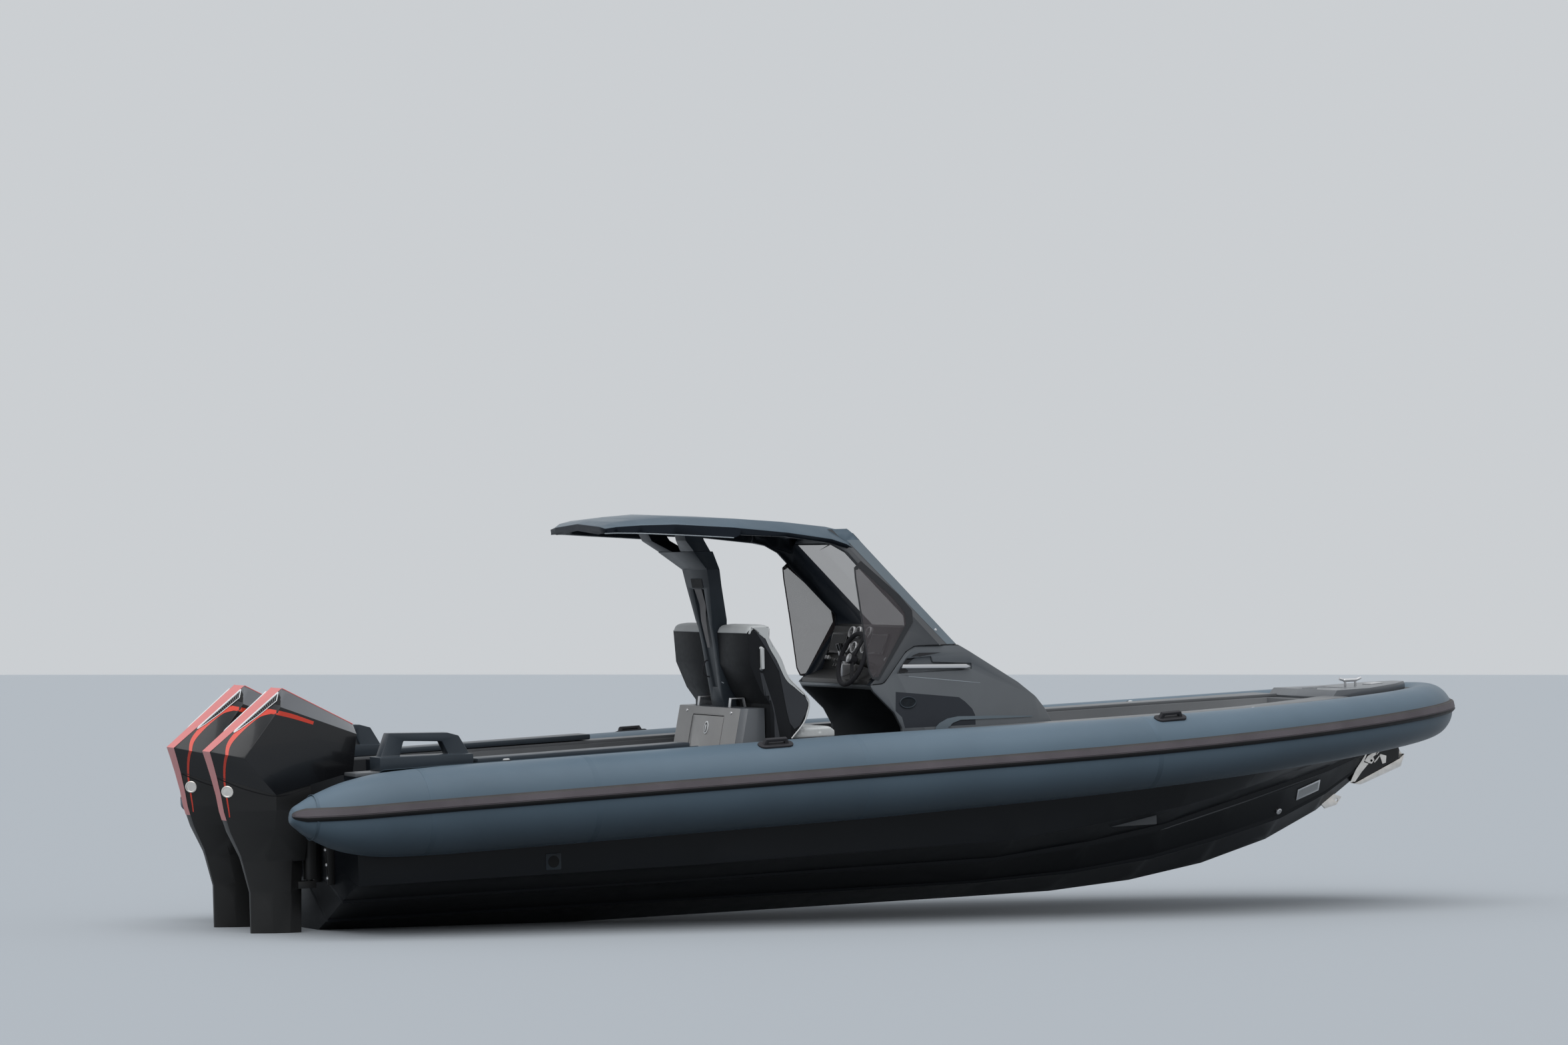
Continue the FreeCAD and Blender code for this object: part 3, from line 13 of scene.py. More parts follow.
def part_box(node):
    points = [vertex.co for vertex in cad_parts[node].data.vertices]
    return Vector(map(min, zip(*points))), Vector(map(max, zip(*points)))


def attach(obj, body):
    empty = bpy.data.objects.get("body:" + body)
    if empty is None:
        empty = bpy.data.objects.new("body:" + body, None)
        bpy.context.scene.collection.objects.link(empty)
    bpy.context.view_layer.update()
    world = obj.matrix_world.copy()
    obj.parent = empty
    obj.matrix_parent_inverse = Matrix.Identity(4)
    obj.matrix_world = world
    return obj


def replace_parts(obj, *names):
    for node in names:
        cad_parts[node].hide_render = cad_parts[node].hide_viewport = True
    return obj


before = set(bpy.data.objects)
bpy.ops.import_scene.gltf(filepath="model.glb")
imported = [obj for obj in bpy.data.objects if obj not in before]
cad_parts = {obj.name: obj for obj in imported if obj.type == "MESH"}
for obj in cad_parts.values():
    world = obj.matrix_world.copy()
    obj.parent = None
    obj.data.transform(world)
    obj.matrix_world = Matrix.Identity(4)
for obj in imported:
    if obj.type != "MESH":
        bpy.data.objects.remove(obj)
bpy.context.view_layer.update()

log = logging.getLogger("boat")

Pair = tuple[float, float]
Point = tuple[float, float, float]
Colour = tuple[float, float, float]
Hit = tuple[Vector, Vector]
Piece = bpy.types.Object
Socket = bpy.types.NodeSocket

STARBOARD = -1
PORT = 1
SIDES = ((PORT, "port"), (STARBOARD, "starboard"))
UP = Vector((0.0, 0.0, 1.0))
FORWARD = Vector((1.0, 0.0, 0.0))
WELD = 0.00001
CAD_WELD = 0.00002


def add_node(tree: bpy.types.NodeTree, kind: str, settings: dict[str, str] | None = None,
             **inputs: object) -> bpy.types.Node:
    """Adds a node to a tree.

    Args:
        tree: tree that gets it.
        kind: type of the node.
        settings: its properties.
        inputs: its sockets, as values or as sockets to link, spaces written as underscores.

    Returns:
        The node.
    """
    node = tree.nodes.new(kind)
    for key, value in (settings or {}).items():
        setattr(node, key, value)
    for key, value in inputs.items():
        socket = node.inputs[key.replace("_", " ")]
        if isinstance(value, Socket):
            tree.links.new(value, socket)
        else:
            socket.default_value = value
    return node


# Finishes
class Grain(Enum):
    """Fine relief of a surface."""

    MOULDED = "moulded"
    COATED_CLOTH = "coated cloth"
    LEATHER = "leather"
    BRUSHED = "brushed"
    NON_SLIP = "non slip"
    CAST = "cast"


@dataclass(frozen=True)
class Finish:
    """A procedural material on object coordinates.

    Args:
        name: material name.
        colour: linear base colour.
        roughness: middle of the roughness.
        metallic: how metallic it is.
        coat: clear coat over it.
        grain: kind of fine relief.
        size: size of that relief in metres.
        depth: height of that relief in metres.
        mottle: share by which the colour varies.
        patch: size of the colour patches in metres.
        slot: slot of the record; not used.
        alpha: how much it covers, below 1 for glass.
        ior: index of refraction.
        sheen: soft edge light of cloth.
        shine: strength of its plain reflections.
    """

    name: str
    colour: Colour
    roughness: float
    slot: str
    metallic: float = 0.0
    coat: float = 0.0
    grain: Grain = Grain.MOULDED
    size: float = 0.006
    depth: float = 0.0001
    mottle: float = 0.08
    patch: float = 0.35
    alpha: float = 1.0
    ior: float = 1.5
    sheen: float = 0.0
    shine: float = 0.5

    def material(self) -> bpy.types.Material:
        """Builds the material once and returns it.

        Returns:
            The material.
        """
        found = bpy.data.materials.get(self.name)
        if found is not None:
            return found
        made = bpy.data.materials.new(self.name)
        made.use_nodes = True
        made.diffuse_color = (*self.colour, self.alpha)
        tree = made.node_tree
        shader = tree.nodes["Principled BSDF"]
        for socket, value in (("Metallic", self.metallic), ("Coat Weight", self.coat),
                              ("Coat Roughness", 0.06),
                              ("IOR", self.ior), ("Alpha", self.alpha), ("Sheen Weight", self.sheen),
                              ("Specular IOR Level", self.shine)):
            shader.inputs[socket].default_value = value
        place = add_node(tree, "ShaderNodeTexCoord").outputs["Object"]
        patches = add_node(tree, "ShaderNodeTexNoise", Scale=1.0 / self.patch, Detail=4.0, Vector=place)
        tint = add_node(tree, "ShaderNodeValToRGB", Fac=patches.outputs["Fac"])
        dark, light = tint.color_ramp.elements
        dark.position, light.position = 0.32, 0.68
        dark.color = (*(c * (1.0 - self.mottle) for c in self.colour), 1.0)
        light.color = (*(min(1.0, c * (1.0 + self.mottle)) for c in self.colour), 1.0)
        smudge = add_node(tree, "ShaderNodeTexNoise", Scale=4.7 / self.patch, Detail=5.0, Vector=place)
        spread = add_node(tree, "ShaderNodeMapRange", Value=smudge.outputs["Fac"],
                          To_Min=max(0.02, self.roughness * 0.8), To_Max=min(1.0, self.roughness * 1.2))
        tree.links.new(tint.outputs["Color"], shader.inputs["Base Color"])
        tree.links.new(spread.outputs["Result"], shader.inputs["Roughness"])
        if self.depth > 0.0:
            bump = add_node(tree, "ShaderNodeBump", Distance=self.depth, Strength=1.0,
                            Height=self.relief(tree, place))
            tree.links.new(bump.outputs["Normal"], shader.inputs["Normal"])
        return made

    def relief(self, tree: bpy.types.NodeTree, place: Socket) -> Socket:
        """Adds the nodes of the fine relief.

        Args:
            tree: node tree of the material.
            place: socket with the object coordinates.

        Returns:
            The socket with the height.
        """
        if self.grain in (Grain.NON_SLIP, Grain.COATED_CLOTH):
            turns = (0.5, -0.5) if self.grain is Grain.NON_SLIP else (0.0, math.pi / 2.0)
            product = add_node(tree, "ShaderNodeMath", {"operation": "MULTIPLY"})
            for turn, socket in zip(turns, product.inputs):
                mapping = add_node(tree, "ShaderNodeMapping", Vector=place,
                                   Rotation=(turn * 0.4, 0.3 * turn, turn))
                wave = add_node(tree, "ShaderNodeTexWave", Scale=0.32 / self.size, Distortion=0.0,
                                Vector=mapping.outputs["Vector"])
                tree.links.new(wave.outputs["Fac"], socket)
            return product.outputs["Value"]
        if self.grain is Grain.LEATHER:
            cells = add_node(tree, "ShaderNodeTexVoronoi", Scale=1.0 / self.size, Vector=place)
            return cells.outputs["Distance"]
        along = 0.03 if self.grain is Grain.BRUSHED else 1.0
        stretch = add_node(tree, "ShaderNodeMapping", Scale=(along, 1.0, 1.0), Vector=place)
        detail = 6.0 if self.grain is Grain.CAST else 2.0
        speckle = add_node(tree, "ShaderNodeTexNoise", Scale=1.0 / self.size, Detail=detail,
                           Vector=stretch.outputs["Vector"])
        return speckle.outputs["Fac"]


TUBE_CLOTH = Finish("tube_coated_cloth", (0.092, 0.134, 0.172), 0.4, "tube_fabric",
                    grain=Grain.COATED_CLOTH,
                    size=0.0035, depth=0.00012, mottle=0.1, patch=0.9, sheen=0.05, shine=0.18)
SEAM_TAPE = Finish("tube_seam_tape", (0.089, 0.13, 0.167), 0.4, "tube_fabric", size=0.003, mottle=0.1,
                   shine=0.18)
STRAKE_RUBBER = Finish("strake_rubber", (0.11, 0.098, 0.108), 0.55, "rub_strake", grain=Grain.CAST,
                       size=0.012, depth=0.0003, mottle=0.14, patch=0.25, shine=0.2)
# Painted shade: dark upper band of the strake, standing for the shade of its upper groove and edge.
STRAKE_SHADE = replace(STRAKE_RUBBER, name="strake_painted_shade", colour=(0.062, 0.058, 0.058))
# Near-black for dark joints, seams and holes, and painted shade on the strake's underside and inside the
# engines' vents.
SHADE_AND_JOINT_BLACK = Finish("painted_shade_and_joint_black", (0.012, 0.012, 0.013), 0.5, "rub_strake", size=0.01,
                     depth=0.0003, shine=0.15)
NON_SLIP_PAD = Finish("non_slip_pad", (0.06, 0.082, 0.1), 0.75, "tube_pad", grain=Grain.NON_SLIP,
                      size=0.01, depth=0.0008, mottle=0.08, shine=0.15)
BLACK_RUBBER = Finish("black_rubber", (0.014, 0.014, 0.016), 0.45, "black_rubber", grain=Grain.CAST,
                      size=0.006, depth=0.0003, mottle=0.15, shine=0.2)
HULL_GELCOAT = Finish("hull_black_gelcoat", (0.0065, 0.008, 0.0105), 0.32, "hull_gelcoat", coat=0.05,
                      size=0.05, depth=0.00012, mottle=0.18, patch=0.6, shine=0.18)
DECK_GELCOAT = Finish("deck_grey_gelcoat", (0.105, 0.11, 0.116), 0.38, "deck_gelcoat", size=0.02)
DARK_MOULDING = Finish("dark_grey_moulding", (0.034, 0.043, 0.053), 0.34, "dark_moulding", coat=0.05,
                       size=0.02, mottle=0.08, shine=0.2)
CONSOLE_PAINT = Finish("console_metallic_paint", (0.11, 0.121, 0.132), 0.36, "metallic_moulding",
                       metallic=0.2, coat=0.3, size=0.0012, depth=0.00002, mottle=0.06)
FRAME_PAINT = replace(CONSOLE_PAINT, name="screen_frame_paint", colour=(0.086, 0.09, 0.096))
PILLAR_PAINT = replace(CONSOLE_PAINT, name="pillar_chamfer_paint", colour=(0.15, 0.188, 0.217),
                       mottle=0.05)
ROOF_PAINT = Finish("roof_metallic_paint", (0.072, 0.108, 0.14), 0.36, "metallic_moulding", metallic=0.2,
                    coat=0.15, size=0.0012, depth=0.00002, mottle=0.06, shine=0.4)
# Painted shade on the roof's underside and sides and on the screen frame's inner and lower faces.
ROOF_PAINTED_SHADE = Finish("roof_painted_shade", (0.013, 0.018, 0.026), 0.3, "metallic_moulding", coat=0.05,
                   size=0.01, shine=0.15)
# Painted shade and dark reflection low on the console's sides.
CONSOLE_PAINTED_REFLECTION = Finish("console_lower_painted_reflection", (0.034, 0.038, 0.046), 0.34, "metallic_moulding", coat=0.05,
                     size=0.01, shine=0.2)
UNIT_SIDE = Finish("unit_dark_grey_paint", (0.105, 0.114, 0.125), 0.38, "grey_moulding", coat=0.2,
                   size=0.015)
UNIT_FACE = replace(UNIT_SIDE, name="unit_pale_grey_paint", colour=(0.285, 0.28, 0.276))
WHITE_GELCOAT = Finish("white_gelcoat", (0.62, 0.63, 0.63), 0.3, "white_moulding", coat=0.3, size=0.02,
                       mottle=0.03)
STEEL = Finish("polished_steel", (0.9, 0.9, 0.91), 0.16, "polished_steel", metallic=1.0,
               grain=Grain.BRUSHED, size=0.0015, depth=0.00002, mottle=0.05, patch=0.05)
PALE_STEEL = Finish("satin_steel", (0.86, 0.82, 0.77), 0.34, "polished_steel", metallic=0.85,
                    grain=Grain.BRUSHED, size=0.002, depth=0.00004, mottle=0.12, patch=0.05)
BLACK_PLASTIC = Finish("black_plastic", (0.014, 0.014, 0.016), 0.4, "black_plastic", grain=Grain.CAST,
                       size=0.002, depth=0.00012, mottle=0.1, shine=0.3)
GLOSS_BLACK = Finish("gloss_black", (0.006, 0.006, 0.007), 0.12, "black_plastic", coat=0.5, size=0.02)
SMOKED = Finish("smoked_acrylic", (0.11, 0.095, 0.1), 0.05, "tinted_glass", alpha=0.44, ior=1.49,
                size=0.4, depth=0.0, mottle=0.05)
SCREEN_GLASS = Finish("pale_smoked_acrylic", (0.16, 0.135, 0.148), 0.05, "tinted_glass", alpha=0.31,
                      ior=1.49, size=0.4, depth=0.0, mottle=0.05)
PALE_VINYL = Finish("pale_grey_vinyl", (0.56, 0.58, 0.58), 0.48, "seat_vinyl", grain=Grain.LEATHER,
                    size=0.0035, depth=0.0003, mottle=0.05, patch=0.15, sheen=0.1)
BLACK_VINYL = Finish("black_vinyl", (0.012, 0.013, 0.015), 0.45, "seat_vinyl", grain=Grain.LEATHER,
                     size=0.0035, depth=0.0003, mottle=0.1, patch=0.15, sheen=0.02, shine=0.12)
# Charcoal vinyl of the seat panels; also a painted highlight on the shells' lit rear edges.
WING_VINYL_AND_HIGHLIGHT = Finish("charcoal_vinyl_and_painted_highlight", (0.04, 0.043, 0.049), 0.48, "seat_vinyl", grain=Grain.LEATHER,
                    size=0.0035, depth=0.0003, mottle=0.06, patch=0.2, sheen=0.05, shine=0.25)
GREY_VINYL = Finish("dark_grey_vinyl", (0.085, 0.09, 0.096), 0.5, "cushion_vinyl", grain=Grain.LEATHER,
                    size=0.004, depth=0.0003, mottle=0.07, patch=0.2, sheen=0.1)
ENGINE_PAINT = Finish("engine_gloss_paint", (0.01, 0.0105, 0.012), 0.22, "engine_gloss", coat=0.25,
                      size=0.004, depth=0.00002, mottle=0.1, shine=0.35)
# Painted sky reflection: lighter grey for the upward faces of the gloss black cowls.
ENGINE_TOP_PAINTED_REFLECTION = Finish("engine_top_painted_reflection", (0.095, 0.1, 0.11), 0.3, "engine_gloss", coat=0.4,
                     size=0.003, depth=0.00002, mottle=0.08)
RED_BAND = Finish("salmon_red_paint", (0.72, 0.125, 0.115), 0.32, "engine_gloss", coat=0.4, size=0.003,
                  depth=0.00002, mottle=0.05)
RED_LINE = replace(RED_BAND, name="bright_red_paint", colour=(0.68, 0.045, 0.018), roughness=0.3,
                   mottle=0.04)
CASTING = Finish("engine_casting", (0.013, 0.0135, 0.015), 0.3, "engine_casting", coat=0.1,
                 grain=Grain.CAST, size=0.006, depth=0.0002, mottle=0.1, shine=0.2)
ZINC = Finish("zinc_anode", (0.42, 0.43, 0.44), 0.55, "polished_steel", metallic=0.8, grain=Grain.CAST,
              size=0.004, depth=0.0003)
DIAL = Finish("dial_face", (0.012, 0.013, 0.015), 0.35, "black_plastic", size=0.01)
DIAL_MARK = Finish("dial_marks", (0.75, 0.75, 0.75), 0.4, "white_moulding", size=0.01)
# Painted highlight along edges and folds of the dark mouldings.
PAINTED_EDGE_HIGHLIGHT = Finish("painted_edge_highlight", (0.33, 0.37, 0.4), 0.35, "metallic_moulding", coat=0.3, size=0.004)
FRIT = Finish("printed_glass_edge", (0.012, 0.012, 0.014), 0.1, "tinted_glass", coat=0.4, size=0.05,
              depth=0.0)
# Painted shade in the scoop over the grab bar.
SCOOP_PAINTED_SHADE = Finish("scoop_shadow_paint", (0.01, 0.01, 0.012), 0.4, "metallic_moulding", size=0.01)
# Painted highlight along the hull's spray rail.
RAIL_PAINTED_HIGHLIGHT = Finish("hull_rail_painted_highlight", (0.115, 0.12, 0.128), 0.4, "hull_gelcoat", size=0.02, shine=0.3)
GREY_PANEL = Finish("grey_brown_panel", (0.165, 0.152, 0.152), 0.45, "grey_moulding", size=0.01)
LENS = Finish("lamp_lens", (0.82, 0.84, 0.85), 0.18, "white_moulding", coat=0.5, size=0.003, depth=0.0003)


# Meshes
def new_piece(name: str, mesh: bpy.types.Mesh) -> Piece:
    """Puts a mesh in the scene as an object at the origin."""
    piece = bpy.data.objects.new(name, mesh)
    bpy.context.scene.collection.objects.link(piece)
    return piece


def mesh_of(name: str, corners: Sequence[Sequence[float]],
            faces: Sequence[Sequence[int]]) -> bpy.types.Mesh:
    """Mesh from corners and faces, its doubles merged and its normals outwards.

    Args:
        name: name of the mesh.
        corners: its corners.
        faces: its faces as numbers of corners.

    Returns:
        The mesh.
    """
    mesh = bpy.data.meshes.new(name)
    mesh.from_pydata([tuple(c) for c in corners], [], [tuple(f) for f in faces])
    tidy(mesh)
    return mesh


def tidy(mesh: bpy.types.Mesh, smooth: float = 35.0) -> None:
    """Merges doubles, turns normals outwards and shades smooth below an angle in degrees.

    Args:
        mesh: the mesh.
        smooth: angle in degrees below which faces are shaded smooth.
    """
    work = bmesh.new()
    work.from_mesh(mesh)
    bmesh.ops.remove_doubles(work, verts=work.verts, dist=WELD)
    bmesh.ops.recalc_face_normals(work, faces=work.faces)
    work.to_mesh(mesh)
    work.free()
    shade(mesh, smooth)


def shade(mesh: bpy.types.Mesh, angle: float = 35.0) -> None:
    """Shades a mesh smooth where its faces meet at less than an angle in degrees."""
    mesh.shade_smooth()
    mesh.set_sharp_from_angle(angle=math.radians(angle))


def settle(piece: Piece, smooth: float = 35.0) -> Piece:
    """Applies an object's modifiers to its mesh.

    Args:
        piece: object whose modifiers are applied.
        smooth: angle in degrees below which faces are shaded smooth.

    Returns:
        The same object.
    """
    graph = bpy.context.evaluated_depsgraph_get()
    graph.update()
    mesh = bpy.data.meshes.new_from_object(piece.evaluated_get(graph), depsgraph=graph)
    piece.modifiers.clear()
    old = piece.data
    piece.data = mesh
    if old.users == 0:
        bpy.data.meshes.remove(old)
    shade(mesh, smooth)
    return piece


def done(piece: Piece, finish: Finish, body: str = "boat") -> Piece:
    """Gives a piece its finish, lets it ride on a body and reports it.

    Args:
        piece: the piece.
        finish: its finish.
        body: body that it rides on.

    Returns:
        The same piece.
    """
    piece.data.materials.clear()
    piece.data.materials.append(finish.material())
    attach(piece, body)
    log.info("piece %s on %s: %d faces", piece.name, body, len(piece.data.polygons))
    return piece


def ended(name: str, work: bmesh.types.BMesh) -> Piece:
    """Piece from a mesh under work.

    Args:
        name: name of the piece.
        work: the mesh under work.

    Returns:
        The piece.
    """
    mesh = bpy.data.meshes.new(name)
    work.to_mesh(mesh)
    work.free()
    shade(mesh)
    return new_piece(name, mesh)


def joined(name: str, pieces: Sequence[Piece]) -> Piece:
    """One object from several meshes at the origin.

    Args:
        name: name of the piece.
        pieces: pieces to join, which it removes.

    Returns:
        The piece.
    """
    work = bmesh.new()
    for piece in pieces:
        work.from_mesh(piece.data)
        bpy.data.objects.remove(piece)
    return ended(name, work)


def smooth_path(points: Sequence[Sequence[float]], share: int = 8) -> list[Vector]:
    """Points on a smooth curve through the given ones.

    Args:
        points: points that the curve meets.
        share: points for each stretch.

    Returns:
        The points.
    """
    known = [Vector(p) for p in points]
    ends = [known[0] * 2 - known[1], *known, known[-1] * 2 - known[-2]]
    path = []
    for a, b, c, d in zip(ends, ends[1:], ends[2:], ends[3:]):
        for i in range(share):
            t = i / share
            path.append(0.5 * ((2 * b) + (c - a) * t + (2 * a - 5 * b + 4 * c - d) * t * t
                               + (3 * b - a - 3 * c + d) * t * t * t))
    return [*path, known[-1]]


def rounded(corners: Sequence[Pair], radius: float, steps: int = 5) -> list[Pair]:
    """Closed outline whose corners are arcs.

    Args:
        corners: corners of the outline.
        radius: reach of an arc from its corner.
        steps: points on each arc.

    Returns:
        The outline.
    """
    out: list[Pair] = []
    count = len(corners)
    for i, corner in enumerate(corners):
        here = Vector(corner)
        back = Vector(corners[i - 1]) - here
        ahead = Vector(corners[(i + 1) % count]) - here
        reach = min(radius, back.length * 0.45, ahead.length * 0.45)
        start, end = here + back.normalized() * reach, here + ahead.normalized() * reach
        for s in range(steps + 1):
            t = s / steps
            spot = start * (1 - t) ** 2 + here * 2 * t * (1 - t) + end * t * t
            out.append((spot.x, spot.y))
    return out


def oblong(wide: float, high: float) -> tuple[Pair, ...]:
    """Corners of a rectangle from half its width and half its height."""
    return (-wide, -high), (wide, -high), (wide, high), (-wide, high)


def oval(wide: float, high: float, steps: int = 32) -> list[Pair]:
    """Points of an ellipse from its half axes."""
    turns = [2 * math.pi * i / steps for i in range(steps)]
    return [(wide * math.cos(a), high * math.sin(a)) for a in turns]


def quad(first: int, step: int, row: int) -> tuple[int, ...]:
    """Four corners of a grid from the first one and the steps to the next corner and the next row."""
    return first, first + step, first + step + row, first + row


def tube_faces(rows: int, sides: int, closed: bool = False) -> list[tuple[int, ...]]:
    """Faces between rows of corners round a section, back to the first row if closed."""
    return [(r * sides + s, r * sides + (s + 1) % sides, (r + 1) % rows * sides + (s + 1) % sides,
             (r + 1) % rows * sides + s) for r in range(rows if closed else rows - 1) for s in range(sides)]


def band_faces(outer: Sequence[Vector], inner: Sequence[Vector]) -> list[tuple[Vector, ...]]:
    """Faces between two closed lines with as many points."""
    pairs = list(zip(outer, inner))
    return [(a, b, d, c) for (a, c), (b, d) in zip(pairs, [*pairs[1:], pairs[0]])]


def plate(name: str, outline: Sequence[Pair], thick: float, place: Matrix, bevel: float = 0.0) -> Piece:
    """Flat piece from an outline, its back on the plane of a matrix and its front along the matrix's Z.

    Args:
        name: name of the piece.
        outline: its corners in order.
        thick: its thickness.
        place: where it stands.
        bevel: width of its rounded edges.

    Returns:
        The piece.
    """
    count = len(outline)
    corners = [Vector((x, y, z)) for z in (0.0, thick) for x, y in outline]
    faces = [tuple(range(count - 1, -1, -1)), tuple(range(count, 2 * count))]
    faces += [(i, (i + 1) % count, count + (i + 1) % count, count + i) for i in range(count)]
    piece = new_piece(name, mesh_of(name, [place @ c for c in corners], faces))
    if bevel > 0.0:
        add_bevel(piece, bevel, 2)
        settle(piece, 30.0)
    return piece


def add_bevel(piece: Piece, width: float, segments: int = 2, angle: float = 30.0) -> None:
    """Adds a bevel on edges sharper than an angle.

    Args:
        piece: the piece.
        width: width of the bevel.
        segments: faces across it.
        angle: least angle in degrees.
    """
    bevel = piece.modifiers.new("rounded edges", "BEVEL")
    bevel.width = width
    bevel.segments = segments
    bevel.limit_method = "ANGLE"
    bevel.angle_limit = math.radians(angle)
    bevel.use_clamp_overlap = True
    bevel.miter_outer = "MITER_ARC"


def turned(name: str, profile: Sequence[Pair], foot: Vector, axis: Vector, steps: int = 32) -> Piece:
    """Turned piece: radius and height rows round an axis, closed where the radius is nought.

    Args:
        name: name of the piece.
        profile: radius and height rows.
        foot: foot of the axis.
        axis: direction of the axis.
        steps: how many corners it has round.

    Returns:
        The piece.
    """
    place = Matrix.Translation(foot) @ axis.to_track_quat("Z", "Y").to_matrix().to_4x4()
    corners = []
    for radius, height in profile:
        for i in range(steps):
            a = 2 * math.pi * i / steps
            corners.append(place @ Vector((radius * math.cos(a), radius * math.sin(a), height)))
    faces = tube_faces(len(profile), steps)
    for row in (0, len(profile) - 1):
        if profile[row][0] > 0.0:
            faces.append(tuple(row * steps + i for i in range(steps)))
    return new_piece(name, mesh_of(name, corners, faces))


def pipe(name: str, path: Sequence[Vector], radius: float, sides: int = 12, flat: float = 1.0) -> Piece:
    """Round bar along a path, capped at both ends, its height a share of its width.

    Args:
        name: name of the piece.
        path: middle line.
        radius: half its width.
        sides: sides of its section.
        flat: height as a share of its width.

    Returns:
        The piece.
    """
    corners = []
    normal = None
    for i, spot in enumerate(path):
        ahead = (path[min(i + 1, len(path) - 1)] - path[max(i - 1, 0)]).normalized()
        if normal is None:
            normal = ahead.orthogonal().normalized()
            if abs(ahead.z) < 0.9:
                normal = (UP - ahead * ahead.z).normalized()
        normal = (normal - ahead * normal.dot(ahead)).normalized()
        across = ahead.cross(normal)
        for s in range(sides):
            a = 2 * math.pi * s / sides
            corners.append(spot + normal * (radius * flat * math.cos(a)) + across * (radius * math.sin(a)))
    last = (len(path) - 1) * sides
    ends = [tuple(range(sides)), tuple(last + s for s in range(sides))]
    return new_piece(name, mesh_of(name, corners, tube_faces(len(path), sides) + ends))


def loose_faces(name: str, faces: Sequence[Sequence[Vector]], out: Vector) -> Piece:
    """Sheet from faces given by their corners, its front towards a direction.

    Args:
        name: name of the piece.
        faces: corners of each face.
        out: direction that its front looks to.

    Returns:
        The piece.
    """
    corners = [tuple(c) for face in faces for c in face]
    starts = [sum(len(f) for f in faces[:i]) for i in range(len(faces))]
    mesh = bpy.data.meshes.new(name)
    mesh.from_pydata(corners, [], [tuple(range(s, s + len(f))) for s, f in zip(starts, faces)])
    work = bmesh.new()
    work.from_mesh(mesh)
    bmesh.ops.remove_doubles(work, verts=work.verts, dist=WELD)
    bmesh.ops.recalc_face_normals(work, faces=work.faces)
    if sum(f.normal.dot(out) * f.calc_area() for f in work.faces) < 0:
        bmesh.ops.reverse_faces(work, faces=work.faces)
    work.to_mesh(mesh)
    work.free()
    shade(mesh)
    return new_piece(name, mesh)


def skin(name: str, node: str, keep: Callable[[Vector, Vector], bool], lift: float) -> Piece:
    """Sheet over some faces of a CAD node.

    Args:
        name: name of the piece.
        node: CAD node that it covers.
        keep: tells from a face's middle and normal whether the sheet covers it.
        lift: how far it stands off.

    Returns:
        The sheet as an object.
    """
    work = bmesh.new()
    work.from_mesh(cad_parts[node].data)
    bmesh.ops.remove_doubles(work, verts=work.verts, dist=CAD_WELD)
    other = [f for f in work.faces if not keep(f.calc_center_median(), f.normal)]
    bmesh.ops.delete(work, geom=other, context="FACES")
    work.normal_update()
    moves = [(v, v.normal * (lift * v.calc_shell_factor())) for v in work.verts]
    for vert, move in moves:
        vert.co += move
    return ended(name, work)


